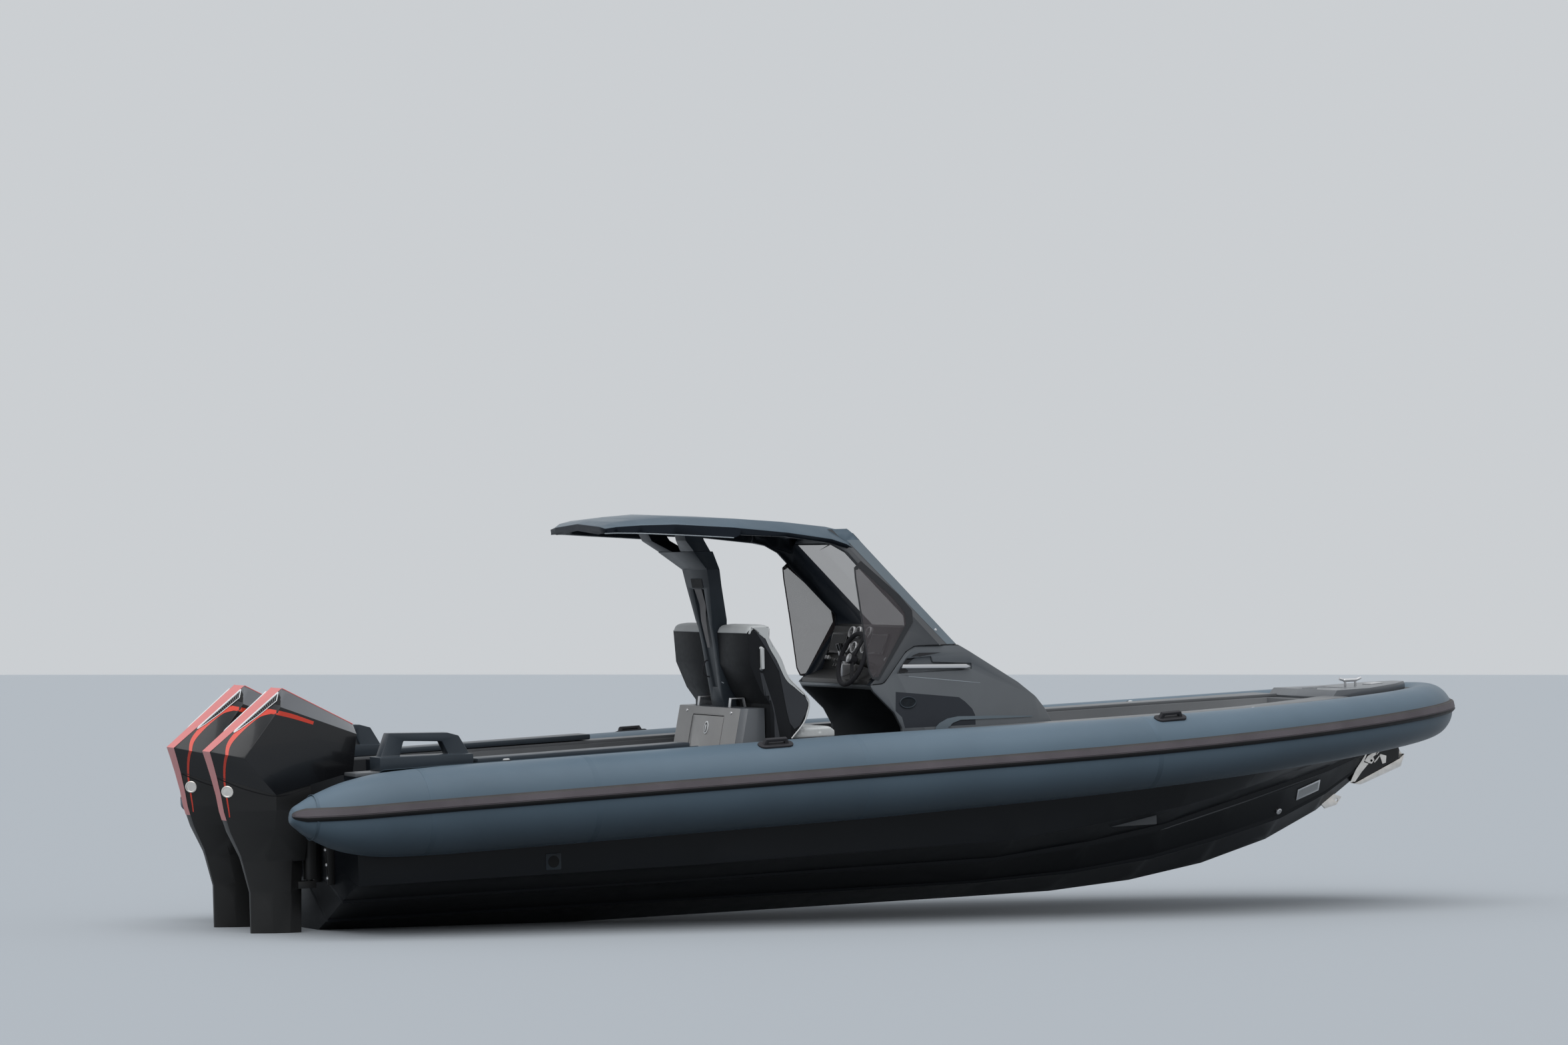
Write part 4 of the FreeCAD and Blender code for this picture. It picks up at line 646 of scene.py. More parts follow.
class Surface:
    """CAD nodes on which trim is laid by casting rays."""

    def __init__(self, *nodes: str) -> None:
        """Reads the nodes' meshes."""
        corners, faces = [], []
        for node in nodes:
            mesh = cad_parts[node].data
            start = len(corners)
            corners += [v.co.copy() for v in mesh.vertices]
            faces += [tuple(start + v for v in p.vertices) for p in mesh.polygons]
        self.tree = BVHTree.FromPolygons(corners, faces)
        self.reach = 3.0

    def hit(self, start: Vector, aim: Vector) -> Hit | None:
        """Point and normal where a ray first meets the surface.

        Args:
            start: start of the ray.
            aim: its direction.

        Returns:
            Both, or nothing.
        """
        spot, normal, _, _ = self.tree.ray_cast(start, aim.normalized())
        if spot is None:
            return None
        return spot, normal if normal.dot(aim) < 0 else -normal

    def beside(self, x: float, z: float, side: int) -> Hit | None:
        """Point and normal at x and z, seen from one side."""
        return self.hit(Vector((x, side * self.reach, z)), Vector((0, -side, 0)))

    def astern(self, y: float, z: float) -> Hit | None:
        """Point and normal at y and z, seen from astern."""
        return self.hit(Vector((-3.0, y, z)), FORWARD)

    def laid(self, x: float, z: float, side: int, lift: float) -> Vector | None:
        """Point over the surface at x and z, seen from one side."""
        found = self.beside(x, z, side)
        return found[0] + found[1] * lift if found else None

    @staticmethod
    def frame_at(found: Hit | None, up: Vector = UP) -> Matrix:
        """Matrix on the surface: Z out of it, Y towards up.

        Args:
            found: point and normal that a ray met.
            up: direction that Y follows.

        Returns:
            The matrix.
        """
        if found is None:
            raise ValueError("the ray meets no surface")
        spot, normal = found
        rise = (up - normal * up.dot(normal)).normalized()
        across = rise.cross(normal)
        return Matrix((
            (across.x, rise.x, normal.x, spot.x),
            (across.y, rise.y, normal.y, spot.y),
            (across.z, rise.z, normal.z, spot.z),
            (0.0, 0.0, 0.0, 1.0),
        ))

    def patch(self, name: str, outline: Sequence[Pair], side: int, lift: float,
              pitch: float = 0.02) -> Piece:
        """Thin sheet with an outline in x and z, laid on one side of the surface.

        Args:
            name: name of the piece.
            outline: corners in x and z.
            side: PORT or STARBOARD.
            lift: how far it stands off the surface.
            pitch: how finely it follows the surface.

        Returns:
            The sheet as an object.
        """
        work = bmesh.new()
        face = work.faces.new([work.verts.new((x, 0.0, z)) for x, z in outline])
        bmesh.ops.triangulate(work, faces=[face])
        for axis in (0, 2):
            low = min(p[0 if axis == 0 else 1] for p in outline)
            high = max(p[0 if axis == 0 else 1] for p in outline)
            aim = Vector((1, 0, 0)) if axis == 0 else UP
            for i in range(1, int((high - low) / pitch) + 1):
                geometry = [*work.verts, *work.edges, *work.faces]
                bmesh.ops.bisect_plane(work, geom=geometry, plane_co=aim * (low + i * pitch), plane_no=aim)
        bmesh.ops.dissolve_limit(work, angle_limit=0.001, verts=[], edges=[])
        missed = []
        for vert in work.verts:
            spot = self.laid(vert.co.x, vert.co.z, side, lift)
            if spot is None:
                missed.append(vert)
            else:
                vert.co = spot
        bmesh.ops.delete(work, geom=missed, context="VERTS")
        bmesh.ops.recalc_face_normals(work, faces=work.faces)
        if sum(f.normal.y * side for f in work.faces) < 0:
            bmesh.ops.reverse_faces(work, faces=work.faces)
        return ended(name, work)

    def line(self, name: str, rows: Sequence[Point], side: int, lift: float) -> Piece:
        """Strip along rows of x, z and width."""
        return self.stripe(name, [(x, z) for x, z, _ in rows], [w for _, _, w in rows], side, lift)

    def stripe(self, name: str, path: Sequence[Pair], widths: Sequence[float], side: int,
               lift: float) -> Piece:
        """Thin strip along a path in x and z, laid on one side of the surface.

        Args:
            name: name of the piece.
            path: middle line in x and z.
            widths: its width at each point of the path.
            side: PORT or STARBOARD.
            lift: how far it stands off the surface.

        Returns:
            The strip as an object.
        """
        fine = smooth_path([(x, w, z) for (x, z), w in zip(path, widths)], 10)
        spots: list[Vector | None] = []
        faces = []
        across_count = 4
        for i, spot in enumerate(fine):
            ahead = fine[min(i + 1, len(fine) - 1)] - fine[max(i - 1, 0)]
            turn = Vector((-ahead.z, 0.0, ahead.x)).normalized()
            for s in range(across_count + 1):
                here = Vector((spot.x, 0.0, spot.z)) + turn * (spot.y * (s / across_count - 0.5))
                spots.append(self.laid(here.x, here.z, side, lift))
        row = across_count + 1
        for i in range(len(fine) - 1):
            for s in range(across_count):
                a = i * row + s
                corners = [spots[k] for k in (a, a + 1, a + row + 1, a + row)]
                if None not in corners and max(c.y for c in corners) - min(c.y for c in corners) < 0.04:
                    faces.append(corners)
        return loose_faces(name, faces, Vector((0, side, 0)))


# Geometry node trees
class NodeTree:
    """Builder of a geometry node tree with named inputs."""

    def __init__(self, name: str) -> None:
        """Starts an empty tree."""
        self.tree = bpy.data.node_groups.new(name, "GeometryNodeTree")
        face = self.tree.interface
        face.new_socket("Geometry", in_out="INPUT", socket_type="NodeSocketGeometry")
        face.new_socket("Geometry", in_out="OUTPUT", socket_type="NodeSocketGeometry")
        self.inward = self.tree.nodes.new("NodeGroupInput")
        self.outward = self.tree.nodes.new("NodeGroupOutput")
        self.identifiers: dict[str, str] = {}

    def size(self, name: str, value: float) -> Socket:
        """Adds a named number and returns its socket.

        Args:
            name: name of the input.
            value: its usual value.

        Returns:
            The socket.
        """
        item = self.tree.interface.new_socket(name, in_out="INPUT", socket_type="NodeSocketFloat")
        item.default_value = value
        self.identifiers[name] = item.identifier
        return self.inward.outputs[name]

    def geometry(self) -> Socket:
        """Socket of the incoming geometry."""
        return self.inward.outputs["Geometry"]

    def add(self, kind: str, settings: dict[str, str] | None = None, **inputs: object) -> bpy.types.Node:
        """Adds a node, as add_node does."""
        return add_node(self.tree, kind, settings, **inputs)

    def finish(self, result: Socket, finish: Finish) -> None:
        """Ends the tree: real geometry with its material.

        Args:
            result: geometry that the tree ends with.
            finish: its finish.
        """
        real = self.add("GeometryNodeRealizeInstances", Geometry=result)
        coloured = self.add("GeometryNodeSetMaterial", Geometry=real.outputs[0])
        coloured.inputs["Material"].default_value = finish.material()
        self.tree.links.new(coloured.outputs[0], self.outward.inputs[0])

    def grow(self, name: str, base: bpy.types.Mesh, sizes: dict[str, float]) -> Piece:
        """Runs the tree on a mesh and returns the result as a plain piece.

        Args:
            name: name of the piece.
            base: mesh that the tree runs on.
            sizes: values of the named inputs.

        Returns:
            The piece.
        """
        piece = new_piece(name, base)
        modifier = piece.modifiers.new("nodes", "NODES")
        modifier.node_group = self.tree
        for key, value in sizes.items():
            modifier[self.identifiers[key]] = value
        return settle(piece)


def cad_edges_tree() -> bpy.types.NodeTree:
    """Tree that merges a CAD mesh's doubles and drops its stored normals.

    Returns:
        The tree.
    """
    build = NodeTree("merged CAD mesh")
    merged = build.add("GeometryNodeMergeByDistance", Geometry=build.geometry(), Distance=CAD_WELD)
    bare = build.add("GeometryNodeRemoveAttribute", Geometry=merged.outputs[0], Name="custom_normal")
    build.tree.links.new(bare.outputs[0], build.outward.inputs[0])
    return build.tree


def shade_tree() -> bpy.types.NodeTree:
    """Tree that shades smooth where faces meet at a small angle.

    Returns:
        The tree.
    """
    build = NodeTree("smooth below an angle")
    limit = build.size("Angle", 0.5)
    angle = build.add("GeometryNodeInputMeshEdgeAngle")
    sharp = build.add("FunctionNodeCompare", {"data_type": "FLOAT", "operation": "GREATER_THAN"})
    build.tree.links.new(angle.outputs["Unsigned Angle"], sharp.inputs[0])
    build.tree.links.new(limit, sharp.inputs[1])
    smooth = build.add("GeometryNodeSetShadeSmooth", {"domain": "FACE"}, Geometry=build.geometry(),
                       Shade_Smooth=True)
    edges = build.add("GeometryNodeSetShadeSmooth", {"domain": "EDGE"}, Geometry=smooth.outputs[0],
                      Selection=sharp.outputs["Result"], Shade_Smooth=False)
    build.tree.links.new(edges.outputs[0], build.outward.inputs[0])
    return build.tree


@dataclass
class Fasteners:
    """Screw and bolt heads set on a surface.

    Args:
        radius: radius of a head.
        height: height of a head.
        sides: 6 for a hexagon, more for a round head.
    """

    radius: float = 0.006
    height: float = 0.003
    sides: int = 16

    def build(self, name: str, spots: Sequence[tuple[Vector, Vector]], finish: Finish,
              body: str = "boat") -> Piece:
        """Sets one head at each point, along its normal.

        Args:
            name: name of the piece.
            spots: point and normal of each head.
            finish: its finish.
            body: body that it rides on.

        Returns:
            The piece.
        """
        base = bpy.data.meshes.new(name)
        base.from_pydata([tuple(spot) for spot, _ in spots], [], [])
        aim = base.attributes.new("aim", "FLOAT_VECTOR", "POINT")
        aim.data.foreach_set("vector", [c for _, normal in spots for c in normal.normalized()])
        build = NodeTree(name + " nodes")
        radius, height = build.size("Radius", self.radius), build.size("Height", self.height)
        head = build.add("GeometryNodeMeshCone", {"fill_type": "NGON"}, Vertices=self.sides,
                         Radius_Bottom=radius,
                         Radius_Top=self.radius * 0.72, Depth=height)
        socket = build.add("GeometryNodeMeshCylinder", {"fill_type": "NGON"}, Vertices=6,
                           Radius=self.radius * 0.4,
                           Depth=0.0008)
        raised = build.add("GeometryNodeTransform", Geometry=socket.outputs["Mesh"],
                           Translation=(0.0, 0.0, self.height))
        both = build.tree.nodes.new("GeometryNodeJoinGeometry")
        build.tree.links.new(head.outputs["Mesh"], both.inputs[0])
        build.tree.links.new(raised.outputs[0], both.inputs[0])
        named = build.add("GeometryNodeInputNamedAttribute", {"data_type": "FLOAT_VECTOR"}, Name="aim")
        turn = build.add("FunctionNodeAlignRotationToVector", {"axis": "Z"},
                         Vector=named.outputs["Attribute"])
        set_out = build.add("GeometryNodeInstanceOnPoints", Points=build.geometry(),
                            Instance=both.outputs[0],
                            Rotation=turn.outputs[0])
        build.finish(set_out.outputs[0], finish)
        return done(build.grow(name, base, {"Radius": self.radius, "Height": self.height}), finish, body)


@dataclass
class Slats:
    """Parallel bars, each between two points, as in a grille.

    Args:
        radius: half the thickness of a bar.
        sides: sides of its section.
    """

    radius: float = 0.0012
    sides: int = 6

    def build(self, name: str, bars: Sequence[tuple[Vector, Vector]], finish: Finish, body: str) -> Piece:
        """Makes one bar along each line.

        Args:
            name: name of the piece.
            bars: both ends of each bar.
            finish: its finish.
            body: body that it rides on.

        Returns:
            The piece.
        """
        corners, edges = [], []
        for start, end in bars:
            edges.append((len(corners), len(corners) + 1))
            corners += [tuple(start), tuple(end)]
        base = bpy.data.meshes.new(name)
        base.from_pydata(corners, edges, [])
        build = NodeTree(name + " nodes")
        radius = build.size("Radius", self.radius)
        curve = build.add("GeometryNodeMeshToCurve", Mesh=build.geometry())
        ring = build.add("GeometryNodeCurvePrimitiveCircle", Resolution=self.sides, Radius=radius)
        bar = build.add("GeometryNodeCurveToMesh", Curve=curve.outputs[0], Profile_Curve=ring.outputs[0],
                        Fill_Caps=True)
        build.finish(bar.outputs[0], finish)
        return done(build.grow(name, base, {"Radius": self.radius}), finish, body)


# Padded pieces
@dataclass
class Cushion:
    """Foam pad swollen with cloth simulation, with channels sewn after it.

    Args:
        name: name of the piece.
        voxel: size of the mesh.
        cap: most that a point may swell.
        fill: how tight it is; not used.
        pressure: pressure inside the cloth.
    """

    name: str
    voxel: float = 0.01
    cap: float = 0.014
    fill: float = 0.8
    pressure: float = 4.0

    def swell(self, start: Piece) -> Piece:
        """Remeshes a closed shape and swells it under pressure.

        Args:
            start: closed shape of the pad.

        Returns:
            The same object.
        """
        remesh = start.modifiers.new("even mesh", "REMESH")
        remesh.mode = "VOXEL"
        remesh.voxel_size = self.voxel
        settle(start)
        rest = [v.co.copy() for v in start.data.vertices]
        cloth = start.modifiers.new("cover", "CLOTH")
        cloth.settings.use_pressure = True
        cloth.settings.uniform_pressure_force = self.pressure
        cloth.settings.effector_weights.gravity = 0.0
        cloth.settings.quality = 4
        cloth.point_cache.frame_start = 1
        cloth.point_cache.frame_end = 20
        scene = bpy.context.scene
        for step in range(1, 21):
            scene.frame_set(step)
        graph = bpy.context.evaluated_depsgraph_get()
        swollen = [v.co.copy() for v in start.evaluated_get(graph).data.vertices]
        start.modifiers.remove(cloth)
        scene.frame_set(1)
        for vert, old, new in zip(start.data.vertices, rest, swollen):
            move = new - old
            if move.length > self.cap:
                move *= self.cap / move.length
            vert.co = old + move
        return start

    def sew(self, piece: Piece, distance: Callable[[Vector], float], width: float, depth: float) -> None:
        """Presses a channel in where a distance function is small, against each point's normal.

        Args:
            piece: the pad.
            distance: distance of a point from the channel.
            width: width of the channel.
            depth: its depth.
        """
        mesh = piece.data
        mesh.update()
        for vert in mesh.vertices:
            reach = distance(vert.co) / width
            if abs(reach) < 3.0:
                vert.co -= vert.normal * (depth * math.exp(-reach * reach))
        mesh.update()

    def close(self, piece: Piece, low: Vector, high: Vector) -> Piece:
        """Subdivides the pad once and keeps it inside its own space.

        Args:
            piece: the pad.
            low: lowest corner of its space.
            high: highest corner of its space.

        Returns:
            The same object.
        """
        finer = piece.modifiers.new("finer", "SUBSURF")
        finer.levels = finer.render_levels = 1
        settle(piece, 60.0)
        for vert in piece.data.vertices:
            vert.co = Vector([min(max(c, a), b) for c, a, b in zip(vert.co, low, high)])
        return piece


def box_mesh(name: str, low: Vector, high: Vector) -> Piece:
    """Closed box between two corners, as a start for a pad."""
    corners = [(x, y, z) for z in (low.z, high.z) for y in (low.y, high.y) for x in (low.x, high.x)]
    faces = [(0, 1, 3, 2), (4, 5, 7, 6), (0, 1, 5, 4), (2, 3, 7, 6), (0, 2, 6, 4), (1, 3, 7, 5)]
    return new_piece(name, mesh_of(name, corners, faces))


def prism_mesh(name: str, outline: Sequence[Pair], low: float, high: float, across: bool) -> Piece:
    """Closed prism: an outline in x and z drawn across the boat, or in x and y drawn upwards.

    Args:
        name: name of the piece.
        outline: its corners in order.
        low: where it starts.
        high: where it ends.
        across: whether it is drawn across.

    Returns:
        The piece.
    """
    count = len(outline)
    if across:
        corners = [(x, y, z) for y in (low, high) for x, z in outline]
    else:
        corners = [(x, y, z) for z in (low, high) for x, y in outline]
    faces = [tuple(range(count)), tuple(range(2 * count - 1, count - 1, -1))]
    faces += [(i, (i + 1) % count, count + (i + 1) % count, count + i) for i in range(count)]
    return new_piece(name, mesh_of(name, corners, faces))


# The boat
@dataclass
class Collar:
    """Inflated collar with its strake, seams and valves.

    Args:
        spacing: half the distance between the tubes.
        radius_aft: radius aft of amidships.
        radius_bow: radius at the bow.
        height: height of the centreline at x = 0.
        rise: straight rise per metre.
        lift: extra rise forward of the bend, per metre squared.
        bend: where the tubes start to bend inwards.
        bow: where the centreline reaches the bow.
        fullness: exponent of the bow curve.
        cone: stern cone, x, radius and lift.
        strake_angle: place of the strake round the tube, in degrees.
        strake_rows: its section, length round the tube and height.
        lip_row: row of that section where the black lip, painted shade of the strake's underside, ends.
        shade_row: row where the dark upper band, painted shade of the strake's upper groove and edge, starts.
        strake_first: first station of the strake.
        strake_taper: stations over which its ends taper.
        taped: stations with a seam tape.
        tape_rows: section of a tape, length along the tube and height.
        valve_places: places of the valves along the boat.
    """

    spacing: float = 1.03
    radius_aft: float = 0.262
    radius_bow: float = 0.176
    height: float = 0.428
    rise: float = 0.0261
    lift: float = 0.0065
    bend: float = 1.2
    bow: float = 4.775
    fullness: float = 2.2
    cone: tuple[Point, ...] = (
        (-3.66, 0.025, 0.034), (-3.648, 0.05, 0.032), (-3.61, 0.078, 0.028), (-3.54, 0.122, 0.02),
        (-3.4, 0.184, 0.008), (-3.26, 0.222, 0.002), (-3.06, 0.25, 0.0), (-2.7, 0.262, 0.0))
    strake_angle: float = 10.0
    strake_rows: tuple[Pair, ...] = (
        (-0.04, 0.0), (-0.039, 0.006), (-0.032, 0.014), (-0.026, 0.0195), (-0.018, 0.02),
        (-0.016, 0.0175), (-0.012, 0.0175), (-0.01, 0.02), (0.022, 0.02), (0.028, 0.0175),
        (0.031, 0.008), (0.039, 0.0065), (0.041, 0.0))
    lip_row: int = 5
    shade_row: int = 8
    strake_first: int = 1
    strake_taper: int = 11
    taped: tuple[int, ...] = (16, 33, 38, 44, 50)
    tape_rows: tuple[Pair, ...] = ((-0.018, -0.002), (-0.018, 0.0005), (0.018, 0.0005), (0.018, -0.002))
    valve_places: tuple[float, ...] = (-2.28, 0.9, 3.0)

    def centre(self, x: float, y: float) -> Vector:
        """Centreline point at x and y."""
        extra = self.lift * max(0.0, x - self.bend) ** 2
        return Vector((x, y, self.height + self.rise * x + extra))

    def radius(self, x: float) -> float:
        """Radius forward of the stern cone."""
        share = max(0.0, min(1.0, x / self.bow)) ** 1.2
        return self.radius_aft - (self.radius_aft - self.radius_bow) * share

    def stations(self) -> list[tuple[Vector, float]]:
        """Centres and radii from the port stern round the bow to the starboard stern.

        Returns:
            Centres and radii.
        """
        half: list[tuple[Vector, float]] = []
        cone = smooth_path([Vector(row) for row in self.cone], 5)
        for x, radius, lift in cone:
            half.append((self.centre(x, self.spacing) + UP * lift, radius))
        x = self.cone[-1][0] + 0.3
        while x < self.bend - 0.1:
            half.append((self.centre(x, self.spacing), self.radius(x)))
            x += 0.3
        for degrees in (0, 6, 12, 18, 24, 30, 36, 42, 48, 53, 58, 63, 67, 71, 74.5, 78, 81, 83.5, 86, 88):
            turn = math.radians(degrees)
            x = self.bend + (self.bow - self.bend) * math.sin(turn) ** (2.0 / self.fullness)
            half.append((self.centre(x, self.spacing * math.cos(turn)), self.radius(x)))
        tip = (self.centre(self.bow, 0.0), self.radius(self.bow))
        return half + [tip] + [(Vector((c.x, -c.y, c.z)), r) for c, r in reversed(half)]

    def around(self, rows: list[tuple[Vector, float]], i: int, angle: float, height: float) -> Vector:
        """Point round the tube at a station, 0 outboard and 90 on top.

        Args:
            rows: centres and radii of the collar's stations.
            i: number of the station.
            angle: angle round the tube.
            height: height over the cloth.

        Returns:
            The point.
        """
        centre, radius = rows[i]
        ahead = rows[min(i + 1, len(rows) - 1)][0] - rows[max(i - 1, 0)][0]
        level = Vector((ahead.x, ahead.y, 0.0)).normalized()
        outboard = Vector((-level.y, level.x, 0.0))
        reach = radius + height
        return centre + outboard * (reach * math.cos(angle)) + UP * (reach * math.sin(angle))

    def build(self) -> None:
        """Makes the collar and all that is glued to it."""
        rows = self.stations()
        base = bpy.data.meshes.new("collar")
        base.from_pydata([tuple(c) for c, _ in rows], [(i, i + 1) for i in range(len(rows) - 1)], [])
        radii = base.attributes.new("tube_radius", "FLOAT", "POINT")
        radii.data.foreach_set("value", [r for _, r in rows])
        build = NodeTree("collar nodes")
        share = build.size("Radius share", 1.0)
        curve = build.add("GeometryNodeMeshToCurve", Mesh=build.geometry())
        level = build.add("GeometryNodeSetCurveNormal", {"mode": "Z_UP"}, Curve=curve.outputs[0])
        ring = build.add("GeometryNodeCurvePrimitiveCircle", Resolution=72, Radius=share)
        named = build.add("GeometryNodeInputNamedAttribute", {"data_type": "FLOAT"}, Name="tube_radius")
        skin = build.add("GeometryNodeCurveToMesh", Curve=level.outputs[0], Profile_Curve=ring.outputs[0],
                         Scale=named.outputs["Attribute"], Fill_Caps=True)
        build.finish(skin.outputs[0], TUBE_CLOTH)
        tube = build.grow("inflated_collar", base, {"Radius share": 1.0})
        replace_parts(done(tube, TUBE_CLOTH), "tube_collar")
        self.strake(rows)
        self.seams(rows)
        self.valves()

    def swept(self, name: str, rows: list[tuple[Vector, float]], section: Sequence[Pair], angle: float,
              first: int, last: int) -> Piece:
        """Closed strip along the tube from a section of lengths round the tube and heights over it.

        Args:
            name: name of the piece.
            rows: centres and radii of the collar's stations.
            section: lengths round the tube and heights over it.
            angle: its place round the tube, in degrees.
            first: first station.
            last: station after the last.

        Returns:
            The piece.
        """
        corners = []
        count = len(section)
        for i in range(first, last):
            share = min(1.0, 0.25 + 0.75 * min(i - first, last - 1 - i) / self.strake_taper)
            for along, height in section:
                turn = math.radians(angle) + share * along / max(rows[i][1], 0.04)
                corners.append(self.around(rows, i, turn, height * share))
        end = (last - first - 1) * count
        ends = [tuple(range(count)), tuple(end + s for s in range(count))]
        return new_piece(name, mesh_of(name, corners, tube_faces(last - first, count) + ends))

    def strake(self, rows: list[tuple[Vector, float]]) -> None:
        """Rubbing strake: light band between a dark upper band and a black lower lip, both painted shade.

        Args:
            rows: centres and radii of the collar's stations.
        """
        # The black lower lip is painted shade of the strake's underside; the dark upper band is painted shade
        # of its upper groove and edge.
        for name, start, stop, finish in (("strake_band", self.lip_row, self.shade_row, STRAKE_RUBBER),
                                          ("strake_lower_painted_shade", 0, self.lip_row, SHADE_AND_JOINT_BLACK),
                                          ("strake_upper_painted_shade", self.shade_row, None, STRAKE_SHADE)):
            section = list(self.strake_rows[start:None if stop is None else stop + 1])
            section += [(section[-1][0], -0.004), (section[0][0], -0.004)]
            piece = self.swept(name, rows, section, self.strake_angle, self.strake_first,
                               len(rows) - self.strake_first)
            done(piece, finish)
            if name == "strake_band":
                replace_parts(piece, "rub_strake")

    def seams(self, rows: list[tuple[Vector, float]]) -> None:
        """Tape rings over the joints of the cloth.

        Args:
            rows: centres and radii of the collar's stations.
        """
        rings = []
        count = len(rows)
        spots = [i for i in self.taped if i < count // 2]
        for i in spots + [count - 1 - i for i in spots]:
            ahead = (rows[i + 1][0] - rows[i - 1][0]).normalized()
            across = Vector((-ahead.y, ahead.x, 0.0)).normalized()
            rise = ahead.cross(across)
            corners = []
            sides = 64
            for along, height in self.tape_rows:
                for s in range(sides):
                    a = 2 * math.pi * s / sides
                    reach = rows[i][1] + height
                    corners.append(rows[i][0] + ahead * along + across * (reach * math.cos(a))
                                   + rise * (reach * math.sin(a)))
            faces = tube_faces(len(self.tape_rows), sides, True)
            rings.append(new_piece("ring", mesh_of("ring", corners, faces)))
        done(joined("collar_seam_tapes", rings), SEAM_TAPE)

    def valves(self) -> None:
        """Inflation valves and pressure caps on the inboard tops."""
        caps, rings = [], []
        for x in self.valve_places:
            for side in (PORT, STARBOARD):
                y = self.spacing if x <= self.bend else self.spacing * math.sqrt(
                    1.0 - ((x - self.bend) / (self.bow - self.bend)) ** self.fullness)
                turn = math.radians(83 if x < 0 else 62)
                axis = Vector((0.0, -side * math.cos(turn), math.sin(turn)))
                foot = self.centre(x, side * y) + axis * (self.radius(x) - 0.002)
                rings.append(turned("ring", ((0.0, 0.0), (0.036, 0.0), (0.036, 0.004), (0.03, 0.007),
                                             (0.022, 0.007), (0.0, 0.006)), foot, axis, 28))
                caps.append(turned("cap", ((0.0, 0.004), (0.021, 0.004), (0.021, 0.013), (0.018, 0.016),
                                           (0.0, 0.017)), foot, axis, 24))
        done(joined("valve_rings", rings), BLACK_RUBBER)
        done(joined("valve_caps", caps), WHITE_GELCOAT)


@dataclass
class CadDress:
    """Finishes and rounded edges of the CAD nodes that stay.

    Args:
        rows: node, finish, width of its rounded edges in metres.
        crease: angle in degrees above which an edge stays sharp.
    """

    rows: tuple[tuple[str, Finish, float], ...] = (
        ("tube_pads", NON_SLIP_PAD, 0.0),
        ("tube_handles", BLACK_RUBBER, 0.002),
        ("hull", HULL_GELCOAT, 0.003),
        ("cockpit_liner", DECK_GELCOAT, 0.004),
        ("coaming", DECK_GELCOAT, 0.004),
        ("side_bolsters", DARK_MOULDING, 0.008),
        ("stern_arches", DARK_MOULDING, 0.006),
        ("stern_bench", DECK_GELCOAT, 0.008),
        ("bow_step", UNIT_SIDE, 0.004),
        ("anchor_locker_lid", UNIT_SIDE, 0.002),
        ("roof", ROOF_PAINT, 0.003),
        ("console", CONSOLE_PAINT, 0.008),
        ("console_grab_bars", STEEL, 0.002),
        ("dash_panel", BLACK_PLASTIC, 0.005),
        ("steering_wheel", BLACK_RUBBER, 0.0),
        ("throttle", STEEL, 0.003),
        ("windscreen_frame", FRAME_PAINT, 0.006),
        ("windscreen", SCREEN_GLASS, 0.0),
        ("side_glass", SMOKED, 0.0),
        ("pylon", DARK_MOULDING, 0.008),
        ("aft_unit", UNIT_SIDE, 0.006),
        ("aft_unit_door", UNIT_FACE, 0.003),
        ("aft_unit_rails", STEEL, 0.0015),
        ("seat_shells", BLACK_VINYL, 0.01),
        ("seat_pedestals", WHITE_GELCOAT, 0.012),
        ("bow_cleat", STEEL, 0.002),
        ("bow_roller", BLACK_PLASTIC, 0.001),
        ("anchor", PALE_STEEL, 0.002),
        ("bow_eye", PALE_STEEL, 0.0015),
        ("clamp_brackets", CASTING, 0.004),
        ("swivel_port", CASTING, 0.004),
        ("swivel_starboard", CASTING, 0.004),
        ("cowl_port", ENGINE_PAINT, 0.004),
        ("cowl_starboard", ENGINE_PAINT, 0.004),
        ("drive_leg_port", CASTING, 0.004),
        ("drive_leg_starboard", CASTING, 0.004),
        ("propeller_port", STEEL, 0.0),
        ("propeller_starboard", STEEL, 0.0),
        ("tie_bar", STEEL, 0.0),
    )
    crease: float = 24.0

    def build(self) -> None:
        """Dresses each node."""
        merged, smooth = cad_edges_tree(), shade_tree()
        angle = next(i for i in smooth.interface.items_tree if i.name == "Angle").identifier
        for node, finish, width in self.rows:
            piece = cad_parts[node]
            piece.data.materials.clear()
            piece.data.materials.append(finish.material())
            piece.modifiers.new("merged", "NODES").node_group = merged
            if width > 0.0:
                flat = piece.modifiers.new("flat faces", "DECIMATE")
                flat.decimate_type = "DISSOLVE"
                flat.angle_limit = math.radians(0.6)
                add_bevel(piece, width, 2, 28.0)
            last = piece.modifiers.new("smooth", "NODES")
            last.node_group = smooth
            last[angle] = math.radians(self.crease)
            log.info("dressed %s in %s", node, finish.name)


